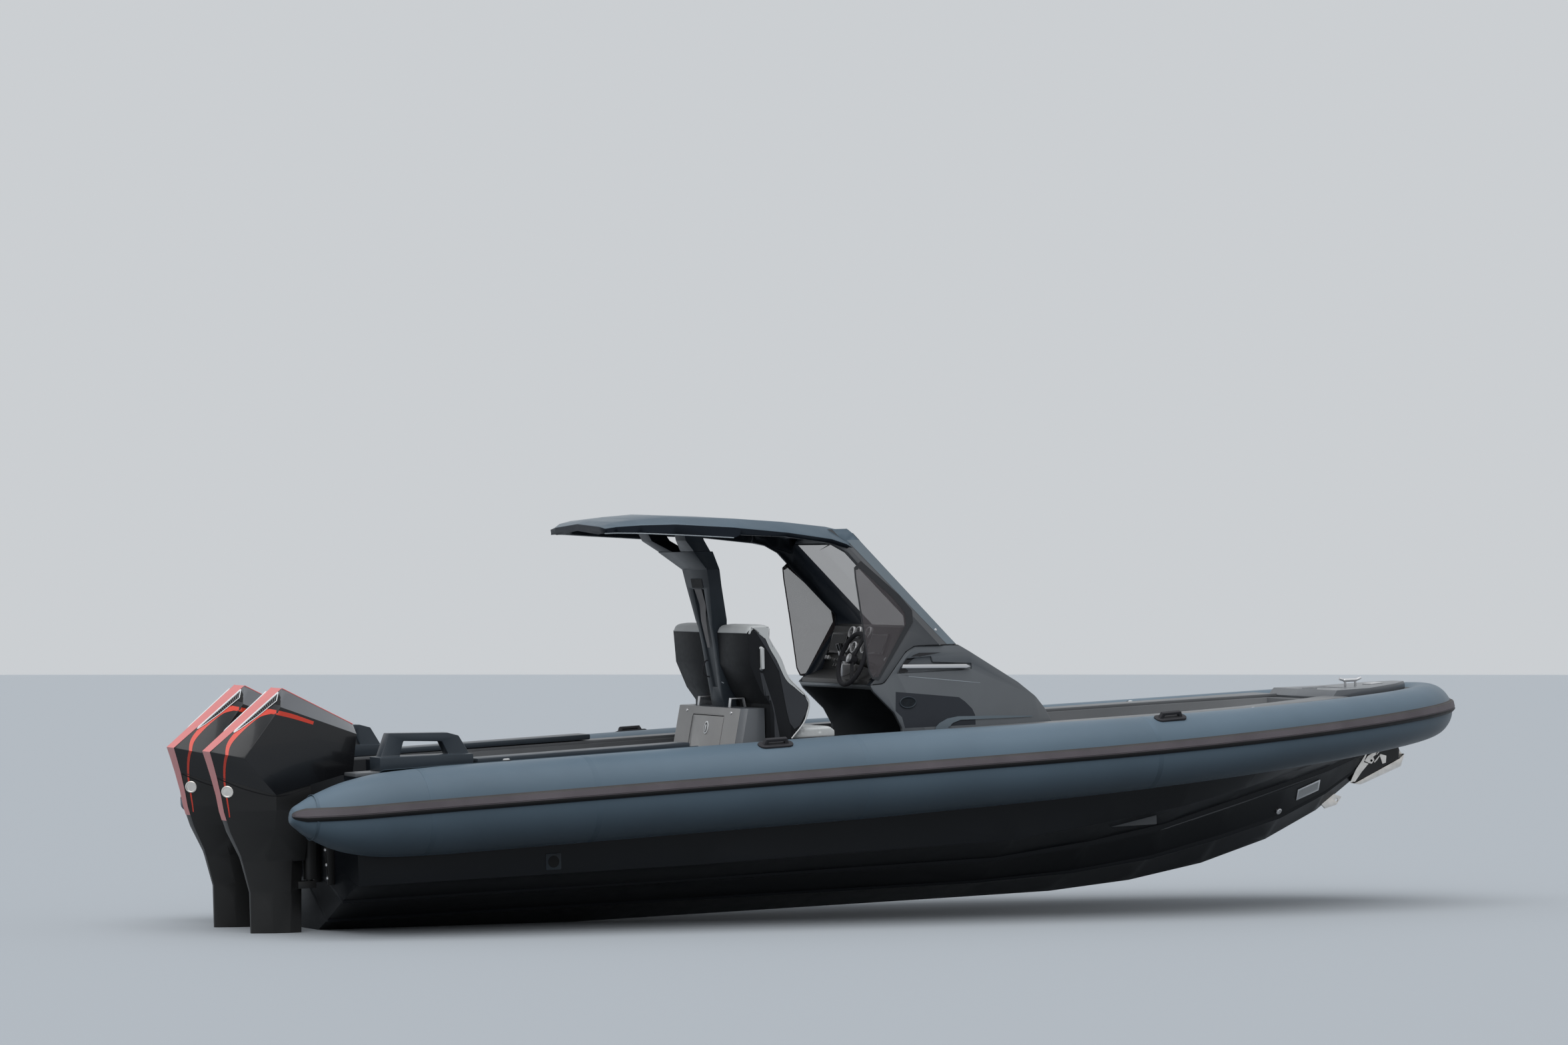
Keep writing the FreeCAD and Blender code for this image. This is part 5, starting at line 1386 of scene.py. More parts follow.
@dataclass
class Outboard:
    """Paint, trim and fittings of one outboard.

    Args:
        side: PORT or STARBOARD.
        spacing: half the distance between the engines.
        ridge: front end of the cowl's two top edges, x, z and half width.
        spine: coloured back of the cowl, x, z and half width, from its peak to its foot.
        thin_line: line on the flank, x, z and width.
        seam: line between upper and lower cover, x and z.
        facet: corners of the cowl's upper rear facet, x, z and half width.
        vent: outline of the air vent in shares along and across that facet.
        notch: painted shade of the notch in front of the vent, in the same shares.
        top_line: line along the top of the flank, x, z and width.
        disc: place of the round disc, x and z.
        bolt_heights: heights of the bolts on the clamp's aft faces.
    """

    side: int
    spacing: float = 0.35
    ridge: Point = (-3.047, 0.865, 0.09)
    spine: tuple[Point, ...] = (
        (-3.491, 1.096, 0.1), (-3.94, 0.735, 0.072), (-3.918, 0.66, 0.066), (-3.897, 0.583, 0.06),
        (-3.87, 0.468, 0.05), (-3.854, 0.375, 0.048), (-3.838, 0.32, 0.046))
    thin_line: tuple[Point, ...] = (
        (-3.823, 0.34, 0.006), (-3.84, 0.452, 0.008), (-3.857, 0.566, 0.01), (-3.863, 0.679, 0.013),
        (-3.855, 0.735, 0.016), (-3.83, 0.785, 0.019), (-3.778, 0.841, 0.022), (-3.712, 0.899, 0.024),
        (-3.65, 0.945, 0.026), (-3.592, 0.966, 0.028))
    top_line: tuple[Point, ...] = ((-3.596, 0.966, 0.028), (-3.473, 0.933, 0.026), (-3.342, 0.887, 0.02))
    seam: tuple[Pair, ...] = (
        (-3.905, 0.583), (-3.848, 0.553), (-3.757, 0.51), (-3.65, 0.474), (-3.594, 0.463),
        (-3.526, 0.466), (-3.394, 0.498), (-3.218, 0.55), (-3.085, 0.591))
    facet: tuple[Point, ...] = (
        (-3.491, 1.096, 0.1), (-3.94, 0.735, 0.072), (-3.545, 0.99, 0.225), (-3.778, 0.695, 0.225))
    vent: tuple[Pair, ...] = (
        (0.05, 0.07), (0.35, 0.06), (0.66, 0.05), (0.69, 0.08), (0.6, 0.15), (0.38, 0.28), (0.08, 0.43))
    notch: tuple[Pair, ...] = ((0.045, 0.1), (0.07, 0.44), (0.12, 0.44), (0.03, 0.8), (0.012, 0.45))
    disc: Pair = (-3.839, 0.494)
    bolt_heights: tuple[float, ...] = (0.21, 0.12, 0.03, -0.05)

    def build(self) -> None:
        """Makes all pieces of this engine."""
        name = "port" if self.side == PORT else "starboard"
        body = "engine_" + name
        y = self.side * self.spacing
        cover = Surface("cowl_" + name)
        whole_engine = Surface("cowl_" + name, "drive_leg_" + name)
        done(self.spine_band(f"spine_band_{name}", y), RED_BAND, body)
        # Painted sky reflection: the cowl's upward faces forward of x = -3.53 get a lighter grey.
        top = skin(f"cowl_top_painted_reflection_{name}", f"cowl_{name}", lambda spot,
                   normal: normal.z > 0.5 and spot.x > -3.53, 0.0006)
        done(top, ENGINE_TOP_PAINTED_REFLECTION, body)
        (x0, z0, half0), (x1, z1, half1) = self.ridge, self.spine[0]
        lines = [pipe("ridge", [Vector((x0, y + edge * half0, z0)), Vector((x1, y + edge * half1, z1))],
                      0.0035, 8)
                 for edge in (PORT, STARBOARD)]
        done(joined(f"ridge_lines_{name}", lines), RED_BAND, body)
        for flank, flank_name in SIDES:
            tag = f"{name}_{flank_name}_flank"
            for kind, rows in (("thin_line_", self.thin_line), ("top_line_", self.top_line)):
                done(whole_engine.line(kind + tag, rows, flank, 0.001), RED_LINE, body)
            seam = whole_engine.stripe("cover_seam_" + tag, self.seam, [0.006] * len(self.seam), flank,
                                       0.0012)
            done(seam, SHADE_AND_JOINT_BLACK, body)
            self.vent_on(tag, cover, flank, body)
            self.disc_on(tag, whole_engine, flank, body)
        self.fittings(name, body, y)

    def spine_band(self, name: str, y: float) -> Piece:
        """Coloured band down the back of the cowl.

        Args:
            name: name of the piece.
            y: place across the boat.

        Returns:
            The piece.
        """
        turns = []
        for (x0, z0, _), (x1, z1, _) in zip(self.spine, self.spine[1:]):
            turns.append(Vector((z1 - z0, 0.0, x0 - x1)).normalized())
        outs = [turns[0], *((a + b).normalized() / max(0.5, (a + b).normalized().dot(a))
                            for a, b in zip(turns, turns[1:])), turns[-1]]
        rows = [[Vector((x, y + half * share, z)) + out * 0.0015 for share in (-1.0, -0.5, 0.0, 0.5, 1.0)]
                for (x, z, half), out in zip(self.spine, outs)]
        faces = [(a[s], a[s + 1], b[s + 1], b[s]) for a, b in zip(rows, rows[1:]) for s in range(4)]
        return loose_faces(name, faces, Vector((-1, 0, 0.3)))

    def on_facet(self, cover: Surface, flank: int, along: float, across: float, lift: float) -> Vector:
        """Point over the cowl's upper rear facet.

        Args:
            cover: surface of the cowl.
            flank: side of the engine, PORT or STARBOARD.
            along: share along the facet.
            across: share across it.
            lift: how far it stands off the surface.

        Returns:
            The point.
        """
        corners = [Vector((x, self.side * self.spacing + flank * half, z)) for x, z, half in self.facet]
        spot = corners[0].lerp(corners[1], along).lerp(corners[2].lerp(corners[3], along), across)
        normal = (corners[1] - corners[0]).cross(corners[2] - corners[0]).normalized()
        normal = normal if normal.z > 0 else -normal
        found = cover.hit(spot + normal * 0.05, -normal)
        return (found[0] if found else spot) + normal * lift

    def vent_on(self, tag: str, cover: Surface, flank: int, body: str) -> None:
        """Air vent: painted shade for its dark inside, steel frame and bars.

        Args:
            tag: end of the pieces' names.
            cover: surface of the cowl.
            flank: side of the engine, PORT or STARBOARD.
            body: body that it rides on.
        """
        rows = []
        for i in range(25):
            along = 0.06 + 0.63 * i / 24
            low, high = (self.edge_of(along, part) for part in (self.vent[:4], self.vent[3:]))
            rows.append([self.on_facet(cover, flank, along, low + (high - low) * k / 3,
                                       0.0012) for k in range(4)])
        faces = [(a[k], a[k + 1], b[k + 1], b[k]) for a, b in zip(rows, rows[1:]) for k in range(3)]
        # Painted shade: near-black sheets inside the vent and over the notch in front of it.
        done(loose_faces("vent_painted_shade_" + tag, faces, Vector((-0.3, flank, 0.5))), SHADE_AND_JOINT_BLACK, body)
        notch = [self.on_facet(cover, flank, s, t, 0.0014) for s, t in self.notch]
        done(loose_faces("vent_notch_painted_shade_" + tag, [notch], Vector((-0.3, flank, 0.5))), SHADE_AND_JOINT_BLACK, body)
        rim = [self.on_facet(cover, flank, s, t, 0.003) for s, t in self.vent]
        rails = [pipe("rail", rim[:4], 0.006, 8), pipe("rail", [*rim[3:], rim[0]], 0.0028, 8)]
        done(joined("vent_frame_" + tag, rails), LENS, body)
        bars = [(a[0] + UP * 0.0012, a[3] + UP * 0.0012) for a in rows[1:-1]]
        Slats(0.0009).build("vent_bars_" + tag, bars, ZINC, body)

    @staticmethod
    def edge_of(along: float, line: Sequence[Pair]) -> float:
        """Share across at a share along, on one edge of the vent.

        Args:
            along: share along the facet.
            line: shares along and across on that edge.

        Returns:
            The share across.
        """
        rows = sorted(line)
        for (s0, t0), (s1, t1) in zip(rows, rows[1:]):
            if s0 <= along <= s1:
                return t0 + (t1 - t0) * (along - s0) / (s1 - s0)
        return rows[0][1] if along < rows[0][0] else rows[-1][1]

    def disc_on(self, tag: str, surface: Surface, flank: int, body: str) -> None:
        """Blank round disc low on the flank.

        Args:
            tag: end of the pieces' names.
            surface: surface of the engine.
            flank: side of the engine, PORT or STARBOARD.
            body: body that it rides on.
        """
        found = surface.beside(*self.disc, flank)
        if found is None:
            return
        profile = ((0.0, -0.002), (0.036, -0.002), (0.036, 0.003), (0.033, 0.005), (0.029, 0.005),
                   (0.027, 0.003), (0.0, 0.0035))
        done(turned("round_disc_" + tag, profile, found[0], found[1], 40), PALE_STEEL, body)

    def fittings(self, name: str, body: str, y: float) -> None:
        """Anode, water inlets and the bolts of the clamp.

        Args:
            name: name of the engine's side.
            body: body that it rides on.
            y: place across the boat.
        """
        leg = Surface("drive_leg_" + name)
        cuts = []
        for flank in (PORT, STARBOARD):
            for i in range(5):
                x, z = -3.47 - 0.012 * i, -0.55 - 0.01 * i
                found = leg.beside(x, z, flank)
                if found:
                    ahead = Vector((0.3, 0.0, 1.0)).normalized()
                    cuts.append((found[0] - ahead * 0.022 + found[1] * 0.0015,
                                 found[0] + ahead * 0.022 + found[1] * 0.0015))
        if cuts:
            Slats(0.0022).build(f"water_inlets_{name}", cuts, SHADE_AND_JOINT_BLACK, body)
        anode = turned(f"leg_anode_{name}", ((0.0, 0.0), (0.016, 0.0), (0.016, 0.006), (0.01, 0.01),
                                             (0.0, 0.011)),
                       Vector((-3.8, y, -0.42)), Vector((0, 0, -1)), 20)
        done(anode, ZINC, body)
        clamp = Surface("clamp_brackets")
        heads = []
        for edge in (PORT, STARBOARD):
            for z in self.bolt_heights:
                found = clamp.hit(Vector((-3.6, y + edge * 0.126, z)), FORWARD)
                if found:
                    heads.append(found)
            found = clamp.hit(Vector((-3.232, y + edge * 0.5, 0.348)), Vector((0, -edge, 0)))
            if found:
                heads.append(found)
        Fasteners(0.011, 0.008, 6).build(f"clamp_bolts_{name}", heads, STEEL)


@dataclass
class ConsoleTrim:
    """Lines, patches, a speaker and fittings on the console and the windscreen frame.

    Args:
        seam: joint of console and windscreen frame, x and z.
        lower: painted shade and dark reflection on the lower side, x and z.
        scoop: painted shade in the curve over the grab bar, x and z.
        pillar: pale chamfer of the pillar, x and z.
        glass: outline of the side glass, x and z.
        clear: inner edge of its printed border, x and z.
        speaker: place of the oval speaker, x and z.
        crease: painted highlight along the fold under the grab bar, x and z.
        rib: raised rib along the foot of the side, x and z.
        fitting: place of the round fitting on the pillar, x and z.
    """

    seam: tuple[Pair, ...] = (
        (0.399, 0.972), (0.47, 0.979), (0.505, 1.012), (0.581, 1.105), (0.633, 1.166), (0.678, 1.195),
        (0.723, 1.207), (0.926, 1.207), (1.015, 1.204))
    lower: tuple[Pair, ...] = (
        (0.56, 0.921), (0.74, 0.901), (1.012, 0.87), (1.056, 0.84), (1.106, 0.793), (1.128, 0.752),
        (1.13, 0.69), (0.62, 0.69), (0.6, 0.76), (0.556, 0.8))
    scoop: tuple[Pair, ...] = (
        (0.893, 1.159), (0.734, 1.162), (0.691, 1.149), (0.652, 1.121), (0.623, 1.088), (0.596, 1.041),
        (0.602, 1.028), (0.656, 1.02), (0.664, 1.053), (0.646, 1.066), (0.665, 1.095), (0.699, 1.121),
        (0.742, 1.139), (0.835, 1.152))
    pillar: tuple[Pair, ...] = ((1.012, 1.21), (0.345, 1.889), (0.245, 1.889), (0.938, 1.21))
    glass: tuple[Pair, ...] = (
        (0.309, 1.735), (0.333, 1.756), (0.596, 1.533), (0.684, 1.434), (0.688, 1.358), (0.439, 1.0),
        (0.392, 1.008), (0.368, 1.057), (0.328, 1.37), (0.288, 1.65), (0.284, 1.714))
    clear: tuple[Pair, ...] = (
        (0.305, 1.7), (0.322, 1.712), (0.548, 1.52), (0.628, 1.425), (0.64, 1.352), (0.436, 1.022),
        (0.398, 1.018), (0.376, 1.06), (0.337, 1.371), (0.297, 1.65), (0.294, 1.7))
    speaker: Pair = (0.644, 0.851)
    fitting: Pair = (0.865, 1.304)
    crease: tuple[Pair, ...] = ((0.654, 1.015), (0.823, 0.996), (1.013, 0.974), (1.175, 0.955))
    rib: tuple[Pair, ...] = (
        (0.833, 0.668), (0.838, 0.688), (0.865, 0.712), (0.923, 0.738), (1.0, 0.749), (1.291, 0.741),
        (1.578, 0.727), (1.578, 0.721), (1.345, 0.722), (1.018, 0.726), (0.961, 0.708), (0.928, 0.684),
        (0.925, 0.668))

    def build(self) -> None:
        """Makes the trim of both sides."""
        side_wall = Surface("console", "windscreen_frame")
        for side, name in SIDES:
            line = side_wall.stripe("frame_joint_" + name, self.seam, [0.006] * len(self.seam), side,
                                    0.0008)
            done(line, SHADE_AND_JOINT_BLACK)
            # Painted shade and dark reflection on the lower side of the console.
            done(side_wall.patch("lower_painted_reflection_" + name, self.lower, side, 0.0006), CONSOLE_PAINTED_REFLECTION)
            # Painted shade in the scoop over the grab bar.
            done(side_wall.patch("scoop_shadow_" + name, self.scoop, side, 0.0008), SCOOP_PAINTED_SHADE)
            done(side_wall.patch("pillar_strip_" + name, self.pillar, side, 0.001), PILLAR_PAINT)
            done(side_wall.patch("base_rib_" + name, self.rib, side, 0.006), PILLAR_PAINT)
            # Painted highlight along the fold under the grab bar.
            fold = side_wall.stripe("side_fold_highlight_" + name, self.crease, [0.003, 0.004, 0.004, 0.002], side,
                                    0.0008)
            done(fold, PAINTED_EDGE_HIGHLIGHT)
            done(self.glass_edge("glass_edge_" + name, side), FRIT)
            self.speaker_on(side_wall, side, name)
        # Painted shade on the screen frame's faces towards the crew and downwards.
        done(skin("frame_painted_shade", "windscreen_frame", self.inward, 0.001), ROOF_PAINTED_SHADE)
        done(skin("frame_crown", "windscreen_frame", lambda spot, normal: normal.z > 0.2 and spot.z > 1.75,
                  0.0008),
             ROOF_PAINT)
        self.screws()

    @staticmethod
    def inward(spot: Vector, normal: Vector) -> bool:
        """Tells whether a face of the screen frame faces the crew or down, where it gets painted shade."""
        return normal.y * spot.y < -0.1 or normal.z < -0.45 or normal.x < -0.6

    def glass_edge(self, name: str, side: int) -> Piece:
        """Printed black edge of the side glass."""
        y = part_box("side_glass")[1].y * side + side * 0.0006
        outer, inner = ([Vector((x, y, z)) for x, z in line] for line in (self.glass, self.clear))
        return loose_faces(name, band_faces(outer, inner), Vector((0, side, 0)))

    def speaker_on(self, wall: Surface, side: int, name: str) -> None:
        """Oval speaker: ring and bars.

        Args:
            wall: surface of the console.
            side: PORT or STARBOARD.
            name: name of the side.
        """
        place = wall.frame_at(wall.beside(*self.speaker, side))
        rim = oval(0.056, 0.034)
        ring = [place @ Vector((x, y, 0.003)) for x, y in [*rim, rim[0]]]
        done(pipe("speaker_ring_" + name, ring, 0.005, 8), DARK_MOULDING)
        done(plate("speaker_back_" + name, oval(0.053, 0.031), 0.0015, place), SHADE_AND_JOINT_BLACK)
        bars = []
        for i in range(-9, 10):
            x = i * 0.0053
            reach = 0.031 * math.sqrt(max(0.0, 1.0 - (x / 0.053) ** 2))
            bars.append((place @ Vector((x, -reach, 0.0025)), place @ Vector((x, reach, 0.0025))))
        Slats(0.0012).build("speaker_bars_" + name, bars, DARK_MOULDING, "boat")

    def screws(self) -> None:
        """Fittings on the pillars."""
        pillars = Surface("windscreen_frame")
        heads = [found for side, _ in SIDES if (found := pillars.beside(*self.fitting, side))]
        Fasteners(0.01, 0.004, 20).build("pillar_fittings", heads, STEEL)


@dataclass
class Helm:
    """Instruments, screens and controls on the dash.

    Args:
        gauge_rows: place of each round gauge on the dash's sloping face, across and height, and its radius.
        screens: middle of each screen, across and height.
        hub: middle of the steering wheel.
        column: direction of its column.
        grip: line of a throttle grip, x and z.
        grip_places: places of the grips across the boat.
    """

    gauge_rows: tuple[Point, ...] = (
        (0.09, 1.285, 0.04), (0.185, 1.285, 0.04), (0.09, 1.19, 0.04), (0.185, 1.19, 0.04),
        (-0.06, 1.285, 0.04), (-0.06, 1.19, 0.04))
    screens: tuple[Pair, ...] = ((-0.245, 1.215), (0.34, 1.215))
    hub: Point = (0.395, -0.245, 1.13)
    column: Point = (-0.9403, 0.0, 0.3401)
    grip: tuple[Pair, ...] = ((0.438, 1.18), (0.43, 1.206), (0.426, 1.222))
    grip_places: Pair = (-0.015, 0.025)

    def build(self) -> None:
        """Makes the instruments."""
        dash = Surface("dash_panel")
        rims, faces, marks = [], [], []
        for y, z, radius in self.gauge_rows:
            place = dash.frame_at(dash.astern(y, z))
            foot, axis = place.translation, place.to_3x3() @ UP
            rims.append(turned("rim", ((radius - 0.006, 0.0), (radius, 0.0), (radius, 0.014),
                                       (radius - 0.003, 0.018),
                                       (radius - 0.008, 0.018), (radius - 0.01, 0.01), (radius - 0.01,
                                                                                          0.002),
                                       (radius - 0.006, 0.0)), foot, axis, 32))
            faces.append(turned("face", ((0.0, 0.0), (radius - 0.009, 0.0), (radius - 0.009, 0.009),
                                         (0.0, 0.009)),
                                foot, axis, 28))
            for i in range(11):
                a = math.radians(225 - 27 * i)
                inner, outer = radius - 0.02, radius - 0.013
                marks.append((place @ Vector((inner * math.cos(a), inner * math.sin(a), 0.0095)),
                              place @ Vector((outer * math.cos(a), outer * math.sin(a), 0.0095))))
            marks.append((place @ Vector((0, 0, 0.01)), place @ Vector((-0.018, 0.006, 0.01))))
        done(joined("gauge_rims", rims), STEEL)
        done(joined("gauge_faces", faces), DIAL)
        Slats(0.0008).build("gauge_marks", marks, DIAL_MARK, "boat")
        for i, (y, z) in enumerate(self.screens):
            place = dash.frame_at(dash.astern(y, z))
            outer = rounded(oblong(0.115, 0.07), 0.012)
            inner = rounded(oblong(0.1, 0.056), 0.004)
            done(plate(f"screen_frame_{i}", outer, 0.016, place, 0.003), GLOSS_BLACK)
            done(plate(f"screen_glass_{i}", inner, 0.017, place), DIAL)
        self.switches(dash)
        self.wheel()

    def switches(self, dash: Surface) -> None:
        """Rows of rocker switches and small knobs.

        Args:
            dash: surface of the dash.
        """
        rockers, knobs = [], []
        for row, z in enumerate((1.075, 1.11)):
            for i in range(7):
                y = 0.12 + 0.034 * i
                place = dash.frame_at(dash.astern(y, z))
                outline = rounded(oblong(0.012, 0.009), 0.003, 3)
                rockers.append(plate("rocker", outline, 0.008, place, 0.002))
        for y in (-0.46, -0.42, 0.42, 0.46):
            place = dash.frame_at(dash.astern(y, 1.12))
            knobs.append(turned("knob", ((0.0, 0.0), (0.016, 0.0), (0.015, 0.014), (0.011, 0.018),
                                         (0.0, 0.018)),
                                place.translation, place.to_3x3() @ UP, 20))
        done(joined("rocker_switches", rockers), GLOSS_BLACK)
        done(joined("dash_knobs", knobs), STEEL)

    def wheel(self) -> None:
        """Cap of the steering wheel, and the knobs of the throttle."""
        profile = ((0.0, 0.02), (0.03, 0.02), (0.029, 0.028), (0.018, 0.034), (0.0, 0.035))
        cap = turned("wheel_cap", profile, Vector(self.hub), Vector(self.column).normalized(), 32)
        done(cap, STEEL, "steering_wheel")
        knobs = [pipe("grip", [Vector((x, y, z)) for x, z in self.grip], 0.014, 14) for y in self.grip_places]
        done(joined("throttle_grips", knobs), GLOSS_BLACK)


@dataclass
class Seats:
    """Two bucket seats.

    Args:
        spacing: half the distance between them.
        squab: side outline of the squab, x and z.
        back: side outline of the backrest, x and z.
        half: half width of the pads.
        piping: line of the piping along the wing's front edge, x and z.
        panel: outline of the sewn panel on the outer side, x and z.
        edge: outline of the painted highlight on the lit rear edge of the shell, x and z.
        head_side: side of the head pad, x and z.
        welt: pale welt on the outer side, x, z and width.
        wing: half the width over the wings.
        head: line of the head pad over the shell, x and z.
        handle_rows: ends and corners of the grab handle, x, reach past the wing and z.
    """

    spacing: float = 0.345
    half: float = 0.199
    wing: float = 0.228
    squab: tuple[Pair, ...] = ((-0.222, 0.657), (0.13, 0.657), (0.13, 0.696), (0.106, 0.716), (-0.212, 0.716))
    back: tuple[Pair, ...] = (
        (-0.301, 0.745), (-0.301, 0.886), (-0.366, 0.983), (-0.433, 1.131), (-0.417, 1.335),
        (-0.365, 1.335), (-0.38, 1.131), (-0.317, 1.002), (-0.25, 0.901), (-0.24, 0.745))
    panel: tuple[Pair, ...] = (
        (-0.44, 1.34), (-0.422, 1.33), (-0.337, 1.197), (-0.271, 1.08), (-0.251, 0.974),
        (-0.225, 0.83), (-0.206, 0.757), (-0.176, 0.718), (-0.138, 0.74), (-0.094, 0.819),
        (-0.079, 0.875), (-0.098, 0.915), (-0.163, 0.975), (-0.225, 1.035), (-0.285, 1.152),
        (-0.368, 1.292), (-0.421, 1.344))
    edge: tuple[Pair, ...] = (
        (-0.403, 1.08), (-0.382, 1.074), (-0.343, 0.954), (-0.314, 0.866), (-0.282, 0.698),
        (-0.278, 0.664), (-0.35, 0.664), (-0.357, 0.835), (-0.384, 0.979))
    head_side: tuple[Pair, ...] = (
        (-0.47, 1.345), (-0.44, 1.356), (-0.421, 1.345), (-0.392, 1.32), (-0.366, 1.292),
        (-0.34, 1.295), (-0.338, 1.36), (-0.454, 1.36))
    welt: tuple[Point, ...] = (
        (-0.351, 1.298, 0.026), (-0.315, 1.225, 0.028), (-0.275, 1.157, 0.026), (-0.22, 1.037, 0.018),
        (-0.16, 0.978, 0.01), (-0.108, 0.932, 0.006))
    piping: tuple[Pair, ...] = (
        (-0.335, 1.352), (-0.338, 1.292), (-0.262, 1.165), (-0.208, 1.041), (-0.102, 0.936),
        (-0.071, 0.87), (-0.107, 0.761), (-0.197, 0.66))

    head: tuple[Pair, ...] = ((-0.493, 1.326), (-0.466, 1.368), (-0.4, 1.379), (-0.345, 1.372), (-0.323, 1.345),
                              (-0.324, 1.29))
    handle_rows: tuple[Point, ...] = ((-0.392, -0.01, 1.232), (-0.39, 0.012, 1.228), (-0.39, 0.012, 1.105),
                                      (-0.392, -0.01, 1.101))

    def build(self) -> None:
        """Makes both seats."""
        squabs, backs = [], []
        for side, name in SIDES:
            y = side * self.spacing
            squab = prism_mesh("seat_squab_" + name, self.squab, y - self.half + 0.004,
                               y + self.half - 0.004, True)
            squabs.append(self.pad(squab, 0.008, "squab"))
            back = prism_mesh("seat_backrest_" + name, self.back, y - self.half + 0.004,
                              y + self.half - 0.004, True)
            backs.append(self.pad(back, 0.009, "back"))
            self.wings(name, y)
            self.handle(name, y)
            self.panels(name, side)
        for piece in squabs:
            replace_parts(piece, "seat_squabs")
        for piece in backs:
            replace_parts(piece, "seat_backrests")

    def panels(self, name: str, side: int) -> None:
        """Lighter panels sewn on both outer sides of a shell.

        Args:
            name: name of the seat's side.
            side: PORT or STARBOARD.
        """
        shell = Surface("seat_shells")
        for reach, flank in ((3.0, side), (0.0, -side)):
            shell.reach = reach
            tag = f"{name}_{'outer' if reach else 'inner'}"
            done(shell.patch("seat_panel_" + tag, self.panel, flank, 0.0015, 0.03), WING_VINYL_AND_HIGHLIGHT)
            # Painted highlight on the shell's lit rear edge.
            done(shell.patch("seat_edge_highlight_" + tag, self.edge, flank, 0.0012, 0.03), WING_VINYL_AND_HIGHLIGHT)
            done(shell.patch("head_side_" + tag, self.head_side, flank, 0.003, 0.03), PALE_VINYL)
            done(shell.line("seat_welt_" + tag, self.welt, flank, 0.0035), PALE_VINYL)

    def pad(self, start: Piece, voxel: float, kind: str) -> Piece:
        """Swells a pad and sews its channels.

        Args:
            start: closed shape of the pad.
            voxel: size of its mesh.
            kind: squab or back.

        Returns:
            The finished pad.
        """
        middle = sum((v.co.y for v in start.data.vertices)) / len(start.data.vertices)
        cushion = Cushion(start.name, voxel, 0.01)
        low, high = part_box("seat_squabs" if kind == "squab" else "seat_backrests")
        low, high = low.copy(), high.copy()
        low.y, high.y = middle - self.half - 0.002, middle + self.half + 0.002
        low -= Vector((0.004, 0.0, 0.0))
        high += Vector((0.006, 0.0, 0.006))
        piece = cushion.swell(start)
        if kind == "squab":
            cushion.sew(piece, lambda p: min(abs(p.x + 0.1), abs(p.x - 0.02)) if p.z > 0.69 else 1.0,
                        0.006, 0.007)
        else:
            cushion.sew(piece, lambda p: min(abs(p.z - 0.93), abs(p.z - 1.08), abs(p.z - 1.2))
                        if p.x > self.back_line(p.z) else 1.0, 0.006, 0.007)
        cushion.close(piece, low, high)
        done(piece, PALE_VINYL)
        return piece

    @staticmethod
    def back_line(z: float) -> float:
        """Middle line of the backrest at a height.

        Args:
            z: the height.

        Returns:
            How far forward that line is.
        """
        rows = ((0.74, -0.275), (0.89, -0.28), (1.0, -0.345), (1.13, -0.41), (1.4, -0.39))
        for (z0, x0), (z1, x1) in zip(rows, rows[1:]):
            if z <= z1:
                return x0 + (x1 - x0) * (z - z0) / (z1 - z0)
        return rows[-1][1]

    def wings(self, name: str, y: float) -> None:
        """Piping along the front edge of the wings, and the head pad.

        Args:
            name: name of the seat's side.
            y: place across the boat.
        """
        lines = []
        path = smooth_path([(x, 0.0, z) for x, z in self.piping], 6)
        for edge in (PORT, STARBOARD):
            outer = y + edge * self.wing
            lines.append(pipe("line", [Vector((p.x + 0.001, outer - edge * 0.002, p.z)) for p in path],
                              0.0055, 10))
        done(joined("seat_piping_" + name, lines), WHITE_GELCOAT)
        head = smooth_path([(x, 0.0, z) for x, z in self.head], 5)
        corners = []
        rows = len(head)
        across = [-1.0, -0.96, -0.85, -0.5, 0.0, 0.5, 0.85, 0.96, 1.0]
        for inner in (0.0, 0.016):
            for p in head:
                for a in across:
                    pull = 0.016 if abs(a) > 0.99 else 0.004 if abs(a) > 0.9 else 0.0
                    spot = Vector((p.x, y + a * 0.231, p.z))
                    toward = Vector((-0.4, y + a * 0.231, 1.3))
                    corners.append(spot + (toward - spot).normalized() * (pull + inner))
        wide = len(across)
        layer = rows * wide
        faces = [quad(start + i * wide + s, 1, wide) for start in (0, layer) for i in range(rows - 1)
                 for s in range(wide - 1)]
        faces += [quad(i * wide + s, wide, layer) for i in range(rows - 1) for s in (0, wide - 1)]
        faces += [quad(i * wide + s, 1, layer) for s in range(wide - 1) for i in (0, rows - 1)]
        pad = new_piece("head_pad_" + name, mesh_of("head_pad_" + name, corners, faces))
        finer = pad.modifiers.new("finer", "SUBSURF")
        finer.levels = finer.render_levels = 1
        settle(pad, 50.0)
        done(pad, PALE_VINYL)

    def handle(self, name: str, y: float) -> None:
        """Upright grab handle on the outer rear corner of the seat.

        Args:
            name: name of the seat's side.
            y: place across the boat.
        """
        bars = []
        for edge in (PORT, STARBOARD):
            path = [Vector((x, y + edge * (self.wing + reach), z)) for x, reach, z in self.handle_rows]
            bars.append(pipe("bar", path, 0.0135, 12))
        done(joined("seat_handles_" + name, bars), PALE_VINYL)


